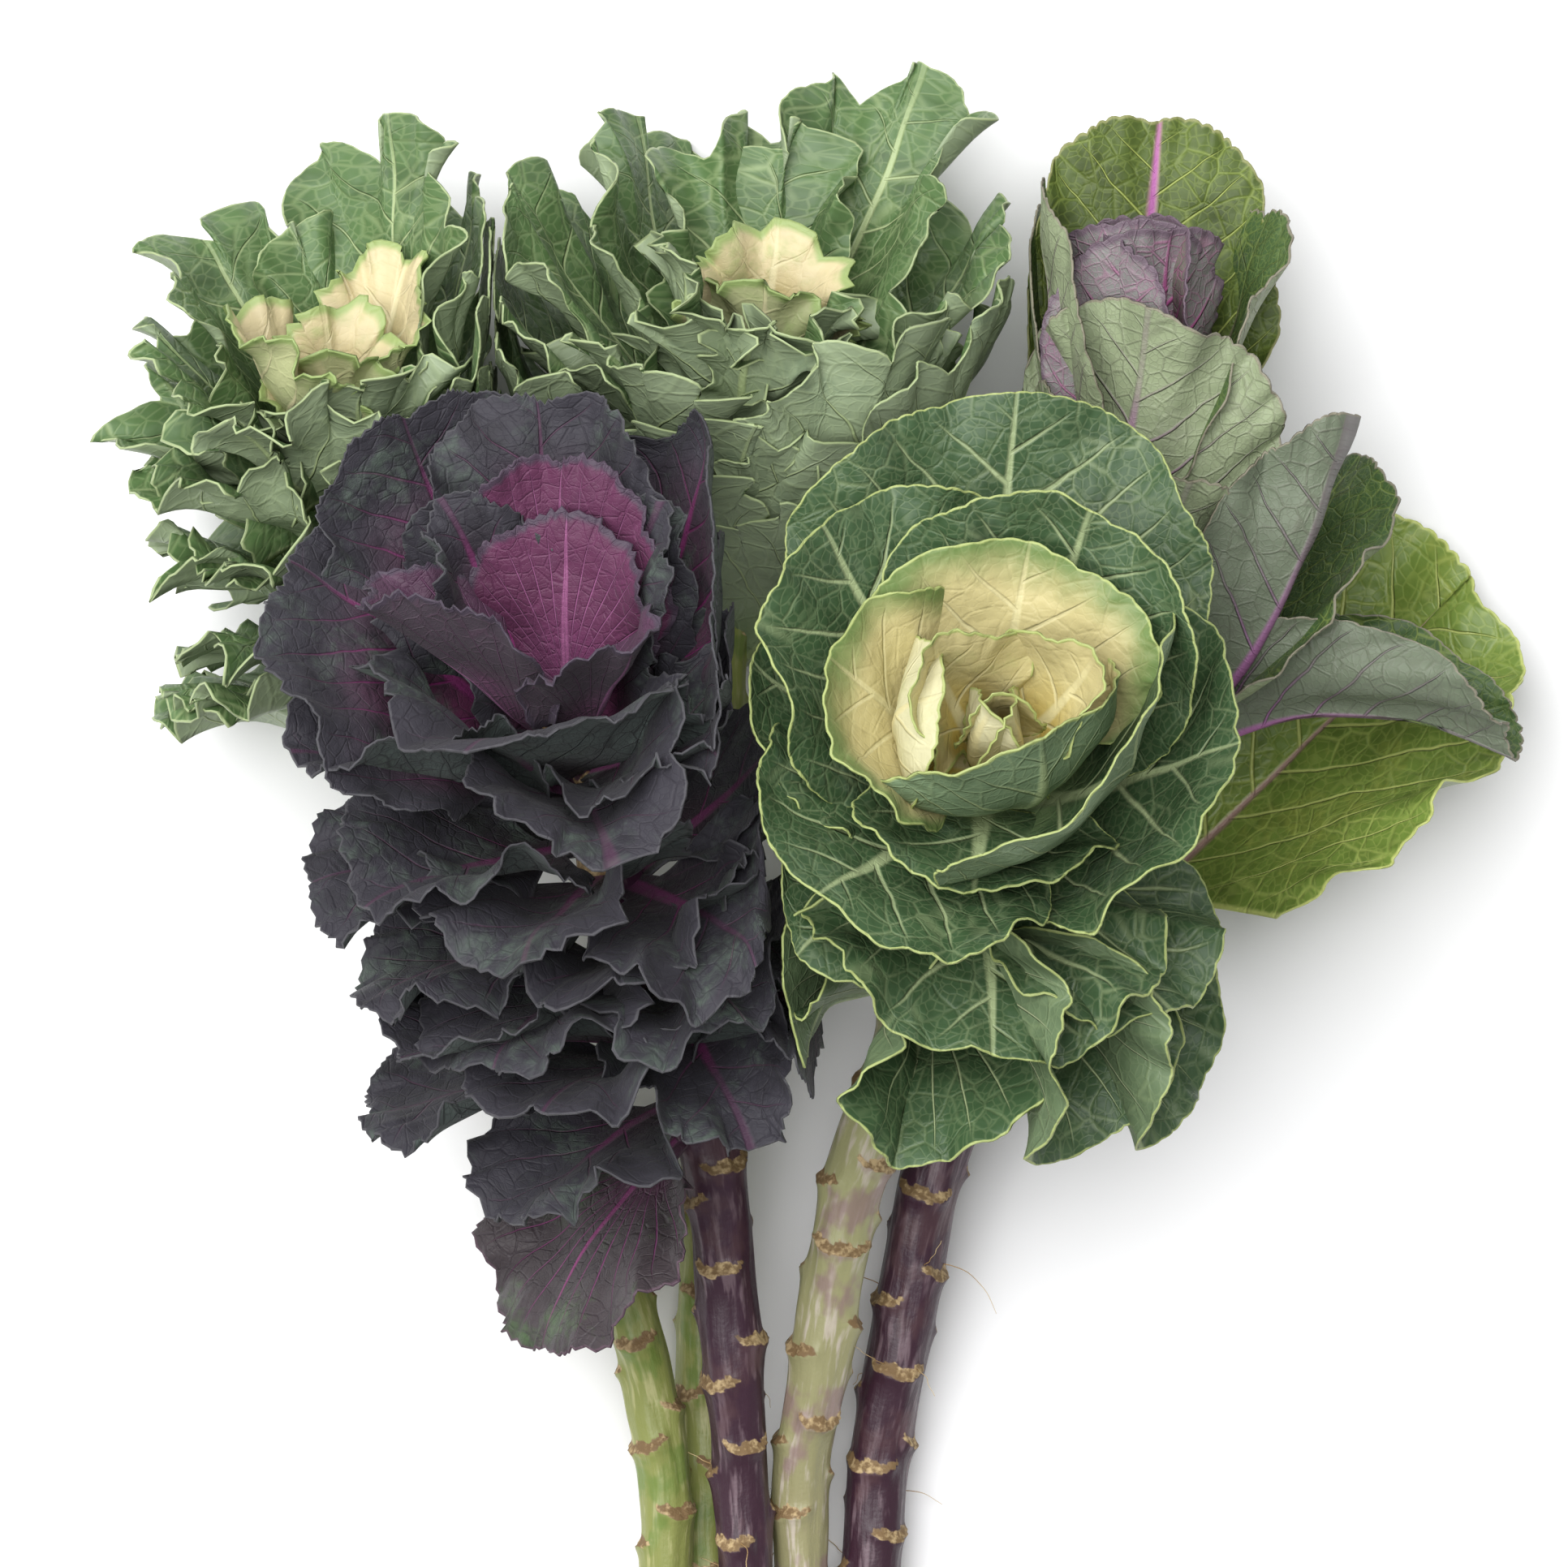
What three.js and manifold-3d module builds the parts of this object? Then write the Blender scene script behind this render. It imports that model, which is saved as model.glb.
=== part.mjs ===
// Purple kale bunch: five cut stems of ornamental kale, lying down together on a surface.
// Millimetres, +Y along the bunch towards the heads, +Z up off the surface that it lies on.
import * as THREE from 'three';
import { mergeVertices } from 'three/addons/utils/BufferGeometryUtils.js';
import Module from 'manifold-3d';

// Driving dimensions
const BLADE = 0.9;            // thickness of a leaf blade
const STALK_EXTRA = 1.5;      // what a leaf stalk is thicker than the blade
const STALK_HALF_WIDTH = 4;   // half the width of a leaf stalk where it leaves the stem
const ROOT_RADIUS = 3;        // how far from the stem's centre line a leaf starts, well inside the stem
const GAP = 0.55;             // clear gap between two kales that press on each other
const PRESS_SOFTNESS = 9;     // distance from a neighbour at which a leaf starts to give way to it
const FLOOR_SOFTNESS = 5;     // height below which a leaf starts to give way to the surface
const FLOOR_BITE = 1.4;       // how firmly the lowest leaves are pressed flat on it
const FLAT_SEAT = 0.05;       // what such a leaf loses of its underside
const SLIVER = 0.1;           // detail smaller than this is smoothed away after a cut
const ROUNDING = 0.001;       // step to which coordinates are rounded, so that near-equal points meet
const STEM_SIDES = 8;
const STEM_STEP = 14;         // length of a stem between two rings of vertices
const SCAR_SPACING = 28;      // distance along a stem from one leaf scar to the next
const SCAR_HEIGHT = 1.1;      // how far the ledge of a leaf scar stands out
const FIRST_LEAF = 20;        // number of the first outer leaf in the seeded draws, past those of the heart
const ORIGIN = [7, -61, 0];   // bottom centre of the whole bunch, in the frame of the tables below

// Shape of a leaf outline in its own flat plan, the same for every leaf
const FAN = THREE.MathUtils.degToRad(76);   // half angle over which the blade fans out from the stalk
const FAN_ROUNDNESS = 0.6;
const FAN_REACH = 1.19;                     // width of that outline divided by its length
const STALK_SHARE = 0.18;                   // share of the rows that belongs to the stalk
const FAN_START = 0.1;                      // size of the fan where the stalk ends
const TIP_BLUNTNESS = 0.85;

// Columns of a leaf table: direction round the stem in degrees (0 right, 90 against the surface, 180 left,
// 270 up towards the viewer), distance below the top of the stem, blade length, blade width, stalk length,
// tilt away from the stem at the foot and at the tip in degrees, cupping across and fold along the midrib in
// degrees, sway and roll of the midrib in degrees, height of the waved edge, and number of waves
const KALES = {
  purple: {
    seed: 650,
    colours: { stem: 0x3a1c33, leaves: 0x2b2833, heart: 0x7d1f52 },
    lobe: 0.03, lobes: 4.3,
    core: [
      [-6, -300, 24, 7], [-10, -193, 28, 7.2], [-13, -147, 36, 8], [-17, -103, 44, 8.2], [-24, -70, 54, 8],
      [-38, -32, 70, 7.5], [-49, -4, 90, 7], [-54, 18, 110, 5],
    ],
    leafyFrom: 144,
    heartFrom: 14,
    heart: [
      [76, 5, 46, 48, 5, 26, 18, 28, 0, -6, 0, 2, 5],
      [86, 12, 64, 52, 5, 26, 22, 30, 0, -8, 0, 3, 5],
      [200, 6, 52, 44, 6, 34, 40, 30, 38, -8, -10, 2.5, 5],
      [322, 6, 40, 40, 6, 38, 40, 35, 10, 0, 0, 3, 4],
    ],
    leaves: [
      [82, 24, 88, 72, 6, 28, 26, 30, 0, 0, 0, 4.5, 5],
      [42, 30, 90, 76, 6, 38, 38, 25, 0, 0, 0, 4, 6],
      [158, 22, 80, 100, 6, 42, 46, 22, 0, 0, 0, 3, 5],
      [114, 34, 106, 76, 6, 34, 28, 25, 0, 0, 0, 4, 5],
      [196, 26, 66, 70, 6, 62, 66, 55, 20, 0, 0, 4, 5],
      [250, 18, 52, 70, 6, 62, 96, 60, 0, 0, 0, 4, 5],
      [278, 26, 44, 56, 8, 74, 118, 45, 0, 0, 0, 4, 4],
      [322, 20, 56, 60, 6, 58, 62, 60, 0, 0, 0, 6, 5],
      [345, 28, 66, 62, 6, 60, 54, 60, 0, 0, 0, 6, 5],
      [15, 34, 74, 64, 6, 52, 40, 40, 0, 0, 0, 5, 5],
      [222, 40, 54, 60, 8, 76, 84, 30, 0, 0, 0, 5, 5],
      [246, 50, 50, 54, 8, 88, 108, 40, 0, 0, 0, 4, 4],
      [300, 44, 60, 58, 8, 88, 104, 45, 0, 0, 0, 5, 5],
      [188, 44, 62, 62, 8, 72, 78, 30, 0, 0, 0, 5, 5],
      [206, 60, 58, 56, 10, 80, 86, 35, 0, 0, 0, 5, 5],
      [176, 84, 56, 44, 14, 72, 66, 30, 10, 0, 0, 3, 4],
      [214, 100, 66, 70, 10, 62, 66, 35, 0, 0, 0, 5, 5],
      [246, 106, 54, 66, 8, 74, 88, 45, 0, 0, 0, 5, 5],
      [190, 112, 68, 58, 12, 74, 84, 30, 0, 0, 0, 5, 5],
      [330, 100, 56, 60, 8, 96, 118, 30, 0, 0, 0, 4, 4],
      [212, 130, 52, 66, 8, 116, 132, 20, 0, 0, 0, 3, 5],
      [16, 58, 60, 56, 8, 70, 76, 30, 0, 0, 0, 4, 4],
    ],
  },
  cream: {
    seed: 660,
    colours: { stem: 0xa8a68c, leaves: 0x46683f, heart: 0xd9cf94 },
    lobe: 0.02, lobes: 3.3,
    core: [
      [11, -300, 18, 7], [4, -193, 20, 7.2], [9, -147, 34, 8], [17, -103, 44, 8.2], [25, -78, 54, 8],
      [37, -44, 66, 7.5], [46, -16, 84, 7], [49, -1, 104, 6], [50, 8, 122, 4],
    ],
    leafyFrom: 96,
    heartFrom: 16,
    heart: [
      [100, 2, 16, 16, 2, 10, -30, 60, 0, 0, 0, 0.6, 3],
      [150, 7, 28, 28, 3, 34, -14, 60, 0, 0, 0, 1, 4],
      [30, 8, 30, 34, 3, 38, -10, 60, 0, 0, 0, 1.5, 4],
      [215, 10, 34, 36, 3, 50, -6, 55, 0, 0, 0, 1.5, 4],
      [80, 12, 50, 70, 3, 44, 14, 50, 0, 0, 0, 1.5, 4],
      [164, 14, 50, 60, 3, 48, 14, 55, 0, 0, 0, 2, 4],
      [300, 14, 50, 84, 3, 54, -22, 70, 0, 0, 0, 1.5, 4],
    ],
    leaves: [
      [66, 20, 70, 88, 4, 54, 20, 40, 0, 0, 0, 2, 4],
      [138, 22, 78, 98, 4, 58, 46, 32, 0, 0, 0, 2.5, 4],
      [332, 22, 68, 112, 4, 60, -6, 55, 0, 0, 0, 2, 4],
      [226, 24, 70, 92, 4, 66, 62, 28, 0, 0, 0, 3, 4],
      [88, 28, 94, 104, 4, 58, 44, 25, 0, 0, 0, 3, 5],
      [352, 32, 68, 100, 4, 60, 34, 35, 0, 0, 0, 3, 4],
      [168, 32, 76, 80, 4, 66, 54, 25, 0, 0, 0, 2, 4],
      [272, 36, 62, 86, 6, 82, 92, 25, 0, 0, 0, 4, 4],
      [224, 40, 62, 52, 6, 84, 92, 25, 0, 0, 0, 2.5, 4],
      [312, 48, 60, 72, 8, 78, 86, 25, 0, 0, 0, 3, 4],
      [226, 70, 56, 52, 8, 92, 120, 50, 35, 0, 0, 3, 4],
      [276, 80, 56, 76, 8, 96, 128, 30, 0, 0, 0, 3, 4],
      [300, 66, 62, 60, 8, 90, 128, 60, 10, 0, 0, 3, 4],
      [326, 70, 62, 60, 10, 88, 112, 35, 0, 0, 0, 3, 4],
    ],
  },
  tall: {
    seed: 670,
    colours: { stem: 0x3b1d35, leaves: 0x71846a, heart: 0x756677 },
    lobe: 0.02, lobes: 4.3,
    core: [
      [26, -300, 7.5, 7.5], [23, -193, 12, 8], [29, -147, 18, 8.2], [37, -103, 24, 8.2], [52, -57, 30, 8],
      [70, -7, 38, 7.5], [82, 41, 46, 7], [86, 76, 52, 6.5], [87, 100, 58, 5],
    ],
    leafyFrom: 176,
    heartFrom: 30,
    heart: [
      [262, 8, 48, 52, 2, 6, -4, 75, 0, 0, 0, 1, 5],
      [60, 10, 50, 48, 2, 6, -4, 70, 0, 0, 0, 1, 5],
      [300, 24, 62, 60, 3, 9, 2, 60, 0, 0, 0, 1.5, 5],
      [200, 26, 62, 50, 3, 10, 6, 55, 0, 0, 0, 1.5, 5],
    ],
    leaves: [
      [86, 34, 96, 80, 4, 18, 10, 35, 0, 0, 0, 2, 5],
      [180, 38, 86, 50, 4, 24, 12, 45, 0, 0, 0, 2, 4],
      [252, 62, 80, 76, 6, 20, 12, 35, 8, 0, 0, 2, 5],
      [330, 70, 100, 60, 6, 28, 16, 40, 14, 0, 0, 2, 4],
      [288, 98, 80, 60, 6, 22, 18, 40, 10, 0, 0, 2, 4],
      [14, 90, 96, 66, 6, 32, 16, 25, 0, 0, 0, 2.5, 4],
      [196, 90, 84, 50, 6, 24, 18, 35, 0, 0, 0, 2.5, 4],
      [92, 84, 90, 70, 6, 42, 34, 25, 0, 0, 0, 2.5, 4],
      [54, 152, 104, 116, 54, 32, 36, 20, 8, -44, 0, 3.5, 5],
      [344, 104, 62, 44, 50, 60, 70, 70, 30, 0, 0, 2, 4],
      [150, 130, 76, 60, 6, 44, 36, 25, 0, 0, 0, 2.5, 4],
      [316, 128, 44, 30, 18, 34, 10, 80, 20, 0, 0, 2, 4],
    ],
  },
  frilledLeft: {
    seed: 680,
    colours: { stem: 0x8f9c4e, leaves: 0x5a7a4c, heart: 0xd6cb8f },
    lobe: 0.08, lobes: 5.3,
    core: [
      [-38, -300, 6.8, 6.8], [-30, -193, 20, 7], [-34, -157, 23, 7], [-39, -135, 26, 7], [-53, -87, 30, 7],
      [-73, -27, 36, 7], [-93, 30, 42, 6.5], [-104, 66, 50, 6], [-108, 86, 60, 5],
    ],
    leafyFrom: 96,
    heartFrom: 12,
    heart: [
      [250, 4, 26, 26, 2, 18, -14, 60, 0, 0, 0, 2.5, 4],
      [110, 4, 32, 30, 2, 16, -8, 60, 0, 0, 0, 2.5, 4],
      [50, 8, 48, 40, 3, 34, 20, 45, 0, 0, 0, 4, 4],
      [190, 10, 44, 44, 3, 28, 12, 50, 0, 0, 0, 4, 4],
    ],
    leaves: [
      [285, 16, 44, 56, 3, 40, 20, 60, 0, 0, 0, 6, 4],
      [128, 18, 76, 76, 4, 32, 24, 30, 0, 0, 0, 7, 5],
      [52, 20, 90, 70, 4, 32, 24, 35, 0, 0, 0, 7, 4],
      [180, 20, 68, 66, 4, 42, 34, 40, 0, 0, 0, 7, 5],
      [152, 32, 76, 76, 5, 48, 44, 25, 0, 0, 0, 8, 5],
      [200, 34, 62, 70, 5, 56, 50, 35, 0, 0, 0, 7, 5],
      [92, 36, 84, 74, 6, 50, 44, 20, 0, 0, 0, 6, 5],
      [318, 34, 50, 60, 5, 56, 44, 40, 0, 0, 0, 6, 4],
      [230, 50, 50, 62, 6, 56, 50, 40, 0, 0, 0, 6, 5],
      [176, 54, 62, 70, 8, 52, 54, 30, 0, 0, 0, 8, 5],
      [204, 70, 54, 66, 8, 56, 64, 30, 0, 0, 0, 7, 5],
      [172, 86, 60, 60, 8, 52, 66, 30, 0, 0, 0, 7, 5],
    ],
  },
  frilledMiddle: {
    seed: 690,
    colours: { stem: 0x8f9c4e, leaves: 0x64805a, heart: 0xd8cf98 },
    lobe: 0.08, lobes: 5.3,
    core: [
      [-19, -300, 6.8, 6.8], [-20, -193, 9, 7], [-21, -147, 12, 7], [-19, -87, 17, 7], [-17, -7, 28, 7],
      [-15, 53, 40, 6.5], [-10, 88, 50, 6], [-7, 104, 58, 5],
    ],
    leafyFrom: 92,
    heartFrom: 9,
    heart: [
      [262, 4, 24, 30, 2, 20, -8, 60, 0, 0, 0, 3, 4],
      [86, 5, 40, 40, 2, 22, 8, 45, 0, 0, 0, 3.5, 4],
    ],
    leaves: [
      [200, 12, 44, 48, 3, 36, 20, 45, 0, 0, 0, 5, 4],
      [262, 22, 46, 56, 4, 46, 20, 55, 0, 0, 0, 5, 4],
      [50, 24, 98, 84, 4, 34, 22, 30, 0, 0, 0, 6, 4],
      [106, 24, 84, 66, 4, 30, 26, 30, 0, 0, 0, 7, 5],
      [166, 28, 86, 72, 4, 58, 36, 35, 0, 0, 0, 7, 5],
      [134, 30, 92, 76, 4, 48, 34, 30, 0, 0, 0, 7, 5],
      [20, 34, 92, 66, 4, 52, 20, 40, 0, 0, 0, 6, 4],
      [322, 46, 76, 76, 8, 70, 2, 50, 0, 0, 0, 4, 4],
      [350, 50, 92, 74, 8, 70, 8, 50, 0, 0, 0, 5, 4],
      [228, 40, 62, 66, 5, 62, 30, 50, 0, 0, 0, 6, 5],
      [190, 48, 84, 70, 6, 66, 40, 40, 0, 0, 0, 7, 5],
      [272, 60, 60, 70, 6, 56, 26, 50, 0, 0, 0, 5, 4],
      [240, 76, 62, 66, 6, 60, 40, 40, 0, 0, 0, 6, 5],
      [96, 56, 84, 76, 6, 52, 46, 25, 0, 0, 0, 6, 5],
      [306, 84, 58, 60, 6, 60, 34, 40, 0, 0, 0, 5, 4],
    ],
  },
};

// Planes between neighbouring heads: a point of the plane, and its normal, which points into the first head
const PRESSED = [
  ['purple', 'cream', [3, -20, 90], [-0.99, -0.14, 0]],
  ['purple', 'frilledLeft', [-92, 46, 72], [0.55, -0.45, 0.7]],
  ['purple', 'frilledMiddle', [-36, 72, 76], [-0.2, -0.75, 0.62]],
  ['cream', 'frilledMiddle', [20, 68, 76], [0.45, -0.6, 0.66]],
  ['cream', 'tall', [82, 34, 74], [-0.5, -0.25, 0.83]],
  ['tall', 'frilledMiddle', [58, 90, 55], [1, -0.05, 0]],
  ['frilledLeft', 'frilledMiddle', [-72, 80, 55], [-1, 0, 0]],
];

const wasm = await Module();
wasm.setup();

// Seeded draw between 0 and 1
function draw(seed, index) {
  const wave = Math.sin(seed * 12.9898 + index * 78.233) * 43758.5453;
  return wave - Math.floor(wave);
}

function clamp01(value) {
  return Math.min(Math.max(value, 0), 1);
}

// Smooth centre line of a stem, from the cut end to the top, with its radius
class Core {
  constructor(points) {
    const steps = 16;
    const centres = points.map(([x, y, z]) => new THREE.Vector3(x, y, z));
    const last = centres.length - 1;
    const before = centres[0].clone().multiplyScalar(2).sub(centres[1]);
    const after = centres[last].clone().multiplyScalar(2).sub(centres[last - 1]);
    this.points = [];
    this.radii = [];
    for (let i = 0; i < last; i++) {
      const a = i > 0 ? centres[i - 1] : before;
      const d = i + 2 <= last ? centres[i + 2] : after;
      for (let j = 0; j < steps; j++) {
        const t = j / steps;
        this.points.push(catmullRom(a, centres[i], centres[i + 1], d, t));
        this.radii.push(THREE.MathUtils.lerp(points[i][3], points[i + 1][3], t));
      }
    }
    this.points.push(centres[last].clone());
    this.radii.push(points[last][3]);
    this.lengths = [0];
    for (let i = 1; i < this.points.length; i++) {
      this.lengths.push(this.lengths[i - 1] + this.points[i].distanceTo(this.points[i - 1]));
    }
    this.length = this.lengths[this.lengths.length - 1];
  }

  // Point at a distance from the cut end, straight on past both ends
  point(distance) {
    const last = this.points.length - 1;
    let i = 1;
    while (i < last && this.lengths[i] < distance) i++;
    const span = this.lengths[i] - this.lengths[i - 1];
    const t = (distance - this.lengths[i - 1]) / span;
    return this.points[i - 1].clone().lerp(this.points[i], t);
  }

  radius(distance) {
    const last = this.points.length - 1;
    let i = 1;
    while (i < last && this.lengths[i] < distance) i++;
    const t = clamp01((distance - this.lengths[i - 1]) / (this.lengths[i] - this.lengths[i - 1]));
    return THREE.MathUtils.lerp(this.radii[i - 1], this.radii[i], t);
  }

  // Centre, direction of growth and the two directions across the stem, at a distance below its top
  frame(down) {
    const reach = 3;
    const distance = this.length - down;
    const centre = this.point(distance);
    const along = this.point(distance + reach).sub(this.point(distance - reach)).normalize();
    const right = new THREE.Vector3(1, 0, 0).addScaledVector(along, -along.x).normalize();
    const under = new THREE.Vector3().crossVectors(along, right);
    return { centre, along, right, under };
  }
}

function catmullRom(a, b, c, d, t) {
  const blend = (p, q, r, s) => 0.5 * (2 * q + (r - p) * t
    + (2 * p - 5 * q + 4 * r - s) * t * t + (3 * q - p - 3 * r + s) * t ** 3);
  return new THREE.Vector3(blend(a.x, b.x, c.x, d.x), blend(a.y, b.y, c.y, d.y), blend(a.z, b.z, c.z, d.z));
}

// The midrib leaves the stem tilted outwards, and bends, sways and rolls on its way to the tip.
// Returns its stations, each with a point, the direction across the leaf and the one out of its inner face.
function traceMidrib(leaf, along, outward) {
  const steps = 48;
  const total = leaf.stalk + leaf.length;
  const step = total * 1.25 / (steps - 1);
  const sideways = new THREE.Vector3().crossVectors(along, outward);
  const stations = [];
  let heading = null;
  const point = new THREE.Vector3();
  for (let i = 0; i < steps; i++) {
    const f = i * step / total;
    const bent = f > 1 ? f : 0.5 * f * f * (3 - 2 * f) + 0.5 * f;
    const tilt = THREE.MathUtils.degToRad(leaf.tilt + (leaf.tipTilt - leaf.tilt) * bent);
    const yaw = THREE.MathUtils.degToRad(leaf.sway) * f;
    const roll = THREE.MathUtils.degToRad(leaf.roll) * f;
    const next = new THREE.Vector3()
      .addScaledVector(along, Math.cos(yaw) * Math.cos(tilt))
      .addScaledVector(outward, Math.cos(yaw) * Math.sin(tilt))
      .addScaledVector(sideways, Math.sin(yaw));
    if (heading) point.addScaledVector(heading.clone().add(next), step / 2);
    heading = next;
    const inward = new THREE.Vector3()
      .addScaledVector(along, Math.sin(tilt))
      .addScaledVector(outward, -Math.cos(tilt));
    const across = new THREE.Vector3().crossVectors(heading, inward);
    stations.push({
      point: point.clone(),
      across: across.clone().multiplyScalar(Math.cos(roll)).addScaledVector(inward, Math.sin(roll)),
      inward: inward.clone().multiplyScalar(Math.cos(roll)).addScaledVector(across, -Math.sin(roll)),
    });
  }
  return (y) => {
    const place = THREE.MathUtils.clamp(y / step, 0, steps - 1.001);
    const i = Math.floor(place);
    const t = place - i;
    return {
      point: stations[i].point.clone().lerp(stations[i + 1].point, t),
      across: stations[i].across.clone().lerp(stations[i + 1].across, t),
      inward: stations[i].inward.clone().lerp(stations[i + 1].inward, t),
    };
  };
}

function readLeaf(row) {
  const [direction, down, length, width, stalk, tilt, tipTilt, cup, fold, sway, roll, wave, waves] = row;
  return { direction, down, length, width, stalk, tilt, tipTilt, cup, fold, sway, roll, wave, waves };
}

// Flat plan of a leaf: u runs from the foot of the stalk to the rim, v from one side to the other
function leafPlan(leaf, kale, seed, u, v) {
  const angle = v * FAN;
  const onStalk = clamp01(u / STALK_SHARE);
  const spread = clamp01((u - STALK_SHARE) / (1 - STALK_SHARE));
  const scallop = Math.abs(Math.sin(kale.lobes * Math.PI / 2 * v + Math.PI * draw(seed, 1)));
  const lobe = 1 + kale.lobe * (1 - 2 * (1 - scallop) ** 1.5) * spread;
  const reach = Math.cos(angle) ** FAN_ROUNDNESS * lobe;
  const size = FAN_START + (reach - FAN_START) * spread;
  const widening = leaf.width / FAN_REACH;
  if (u < STALK_SHARE) {
    const footX = v * STALK_HALF_WIDTH;
    const neckX = widening * FAN_START * Math.sin(angle);
    const neckY = leaf.stalk + leaf.length * (FAN_START * Math.cos(angle)) ** TIP_BLUNTNESS;
    return { x: THREE.MathUtils.lerp(footX, neckX, onStalk), y: onStalk * neckY, spread };
  }
  const x = widening * size * Math.sin(angle);
  const y = leaf.stalk + leaf.length * (size * Math.cos(angle)) ** TIP_BLUNTNESS;
  return { x, y, spread };
}

// Point of the blade's middle surface and the direction out of its inner face
function leafPoint(leaf, kale, seed, midrib, u, v, waves) {
  const { x, y, spread } = leafPlan(leaf, kale, seed, u, v);
  const { point, across, inward } = midrib(y);
  const cupping = THREE.MathUtils.degToRad(leaf.cup) / (leaf.width / 2);
  const folded = THREE.MathUtils.degToRad(leaf.fold) * clamp01(2.5 * y / (leaf.stalk + leaf.length));
  const side = Math.sign(x);
  const lean = folded + cupping * Math.abs(x);
  const out = (Math.sin(lean) - Math.sin(folded)) / cupping * side;
  const rise = (Math.cos(folded) - Math.cos(lean)) / cupping;
  const normal = inward.clone().multiplyScalar(Math.cos(lean)).addScaledVector(across, -side * Math.sin(lean));
  const [phaseA, phaseB, phaseC, , phaseE] = [2, 3, 4, 5, 6].map((index) => 2 * Math.PI * draw(seed, index));
  const swell = Math.sin(0.45 * waves * Math.PI * v + phaseE);
  const ripple = Math.sin(waves * Math.PI * v + phaseA + 0.7 * Math.sin(2.3 * v + phaseB))
    * (0.7 + 0.3 * Math.sin(3.1 * v + phaseC));
  const stiffness = 0.45 + 0.55 * clamp01(Math.abs(v) / 0.25);
  return point.addScaledVector(across, out).addScaledVector(inward, rise)
    .addScaledVector(normal, leaf.wave * stiffness * (0.6 * swell * spread ** 1.5 + ripple * spread ** 3));
}

// A point nearer to a limit than the softness is eased towards it and never passes it
function ease(distance, softness) {
  return distance < softness ? softness * Math.exp((distance - softness) / softness) : distance;
}

function press(point, kale) {
  for (const [first, second, centre, normal] of PRESSED) {
    if (kale !== KALES[first] && kale !== KALES[second]) continue;
    const facing = new THREE.Vector3(...normal).normalize();
    if (kale === KALES[second]) facing.negate();
    const distance = point.clone().sub(new THREE.Vector3(...centre)).dot(facing);
    point.addScaledVector(facing, ease(distance, PRESS_SOFTNESS) - distance);
  }
  point.z = Math.max(ease(point.z, FLOOR_SOFTNESS) - FLOOR_BITE, BLADE / 2 - FLAT_SEAT);
  return point;
}

// A leaf point that the surface holds up
function grounded(point) {
  return point.z < BLADE / 2;
}

// Rows of a blade, each a share of the way from the foot to the rim and a number of cells across
const SMALL_BLADE = [[0, 1], [STALK_SHARE, 1], [0.6, 2], [1, 5]];
const LARGE_BLADE = [[0, 1], [STALK_SHARE, 1], [0.55, 3], [1, 7]];
const FRILLED_BLADE = [[0, 1], [STALK_SHARE, 1], [0.6, 4], [1, 8]];
const RESTING_BLADE = [[0, 1], [STALK_SHARE, 1], [0.5, 4], [0.75, 6], [1, 8]];
const LARGE_AREA = 3600;

// Points of a blade's middle surface, row by row
function bladePoints(leaf, kale, seed, midrib, foot, rows) {
  const rimCells = rows[rows.length - 1][1];
  const waves = Math.min(leaf.waves, rimCells / 3.2);
  const lines = [];
  for (const [u, cells] of rows) {
    const line = [];
    for (let j = 0; j <= cells; j++) {
      const v = 2 * j / cells - 1;
      line.push(press(leafPoint(leaf, kale, seed, midrib, u, v, waves).add(foot), kale));
    }
    lines.push(line);
  }
  return lines;
}

// Triangles of the strip between two rows of vertices with different numbers of cells
function stripTriangles(lower, upper) {
  const triangles = [];
  let i = 0;
  let j = 0;
  while (i < lower.length - 1 || j < upper.length - 1) {
    const nextLower = (i + 1) / (lower.length - 1);
    const nextUpper = (j + 1) / (upper.length - 1);
    if (j === upper.length - 1 || (i < lower.length - 1 && nextLower <= nextUpper)) {
      triangles.push([lower[i], lower[i + 1], upper[j]]);
      i++;
    } else {
      triangles.push([lower[i], upper[j + 1], upper[j]]);
      j++;
    }
  }
  return triangles;
}

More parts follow.
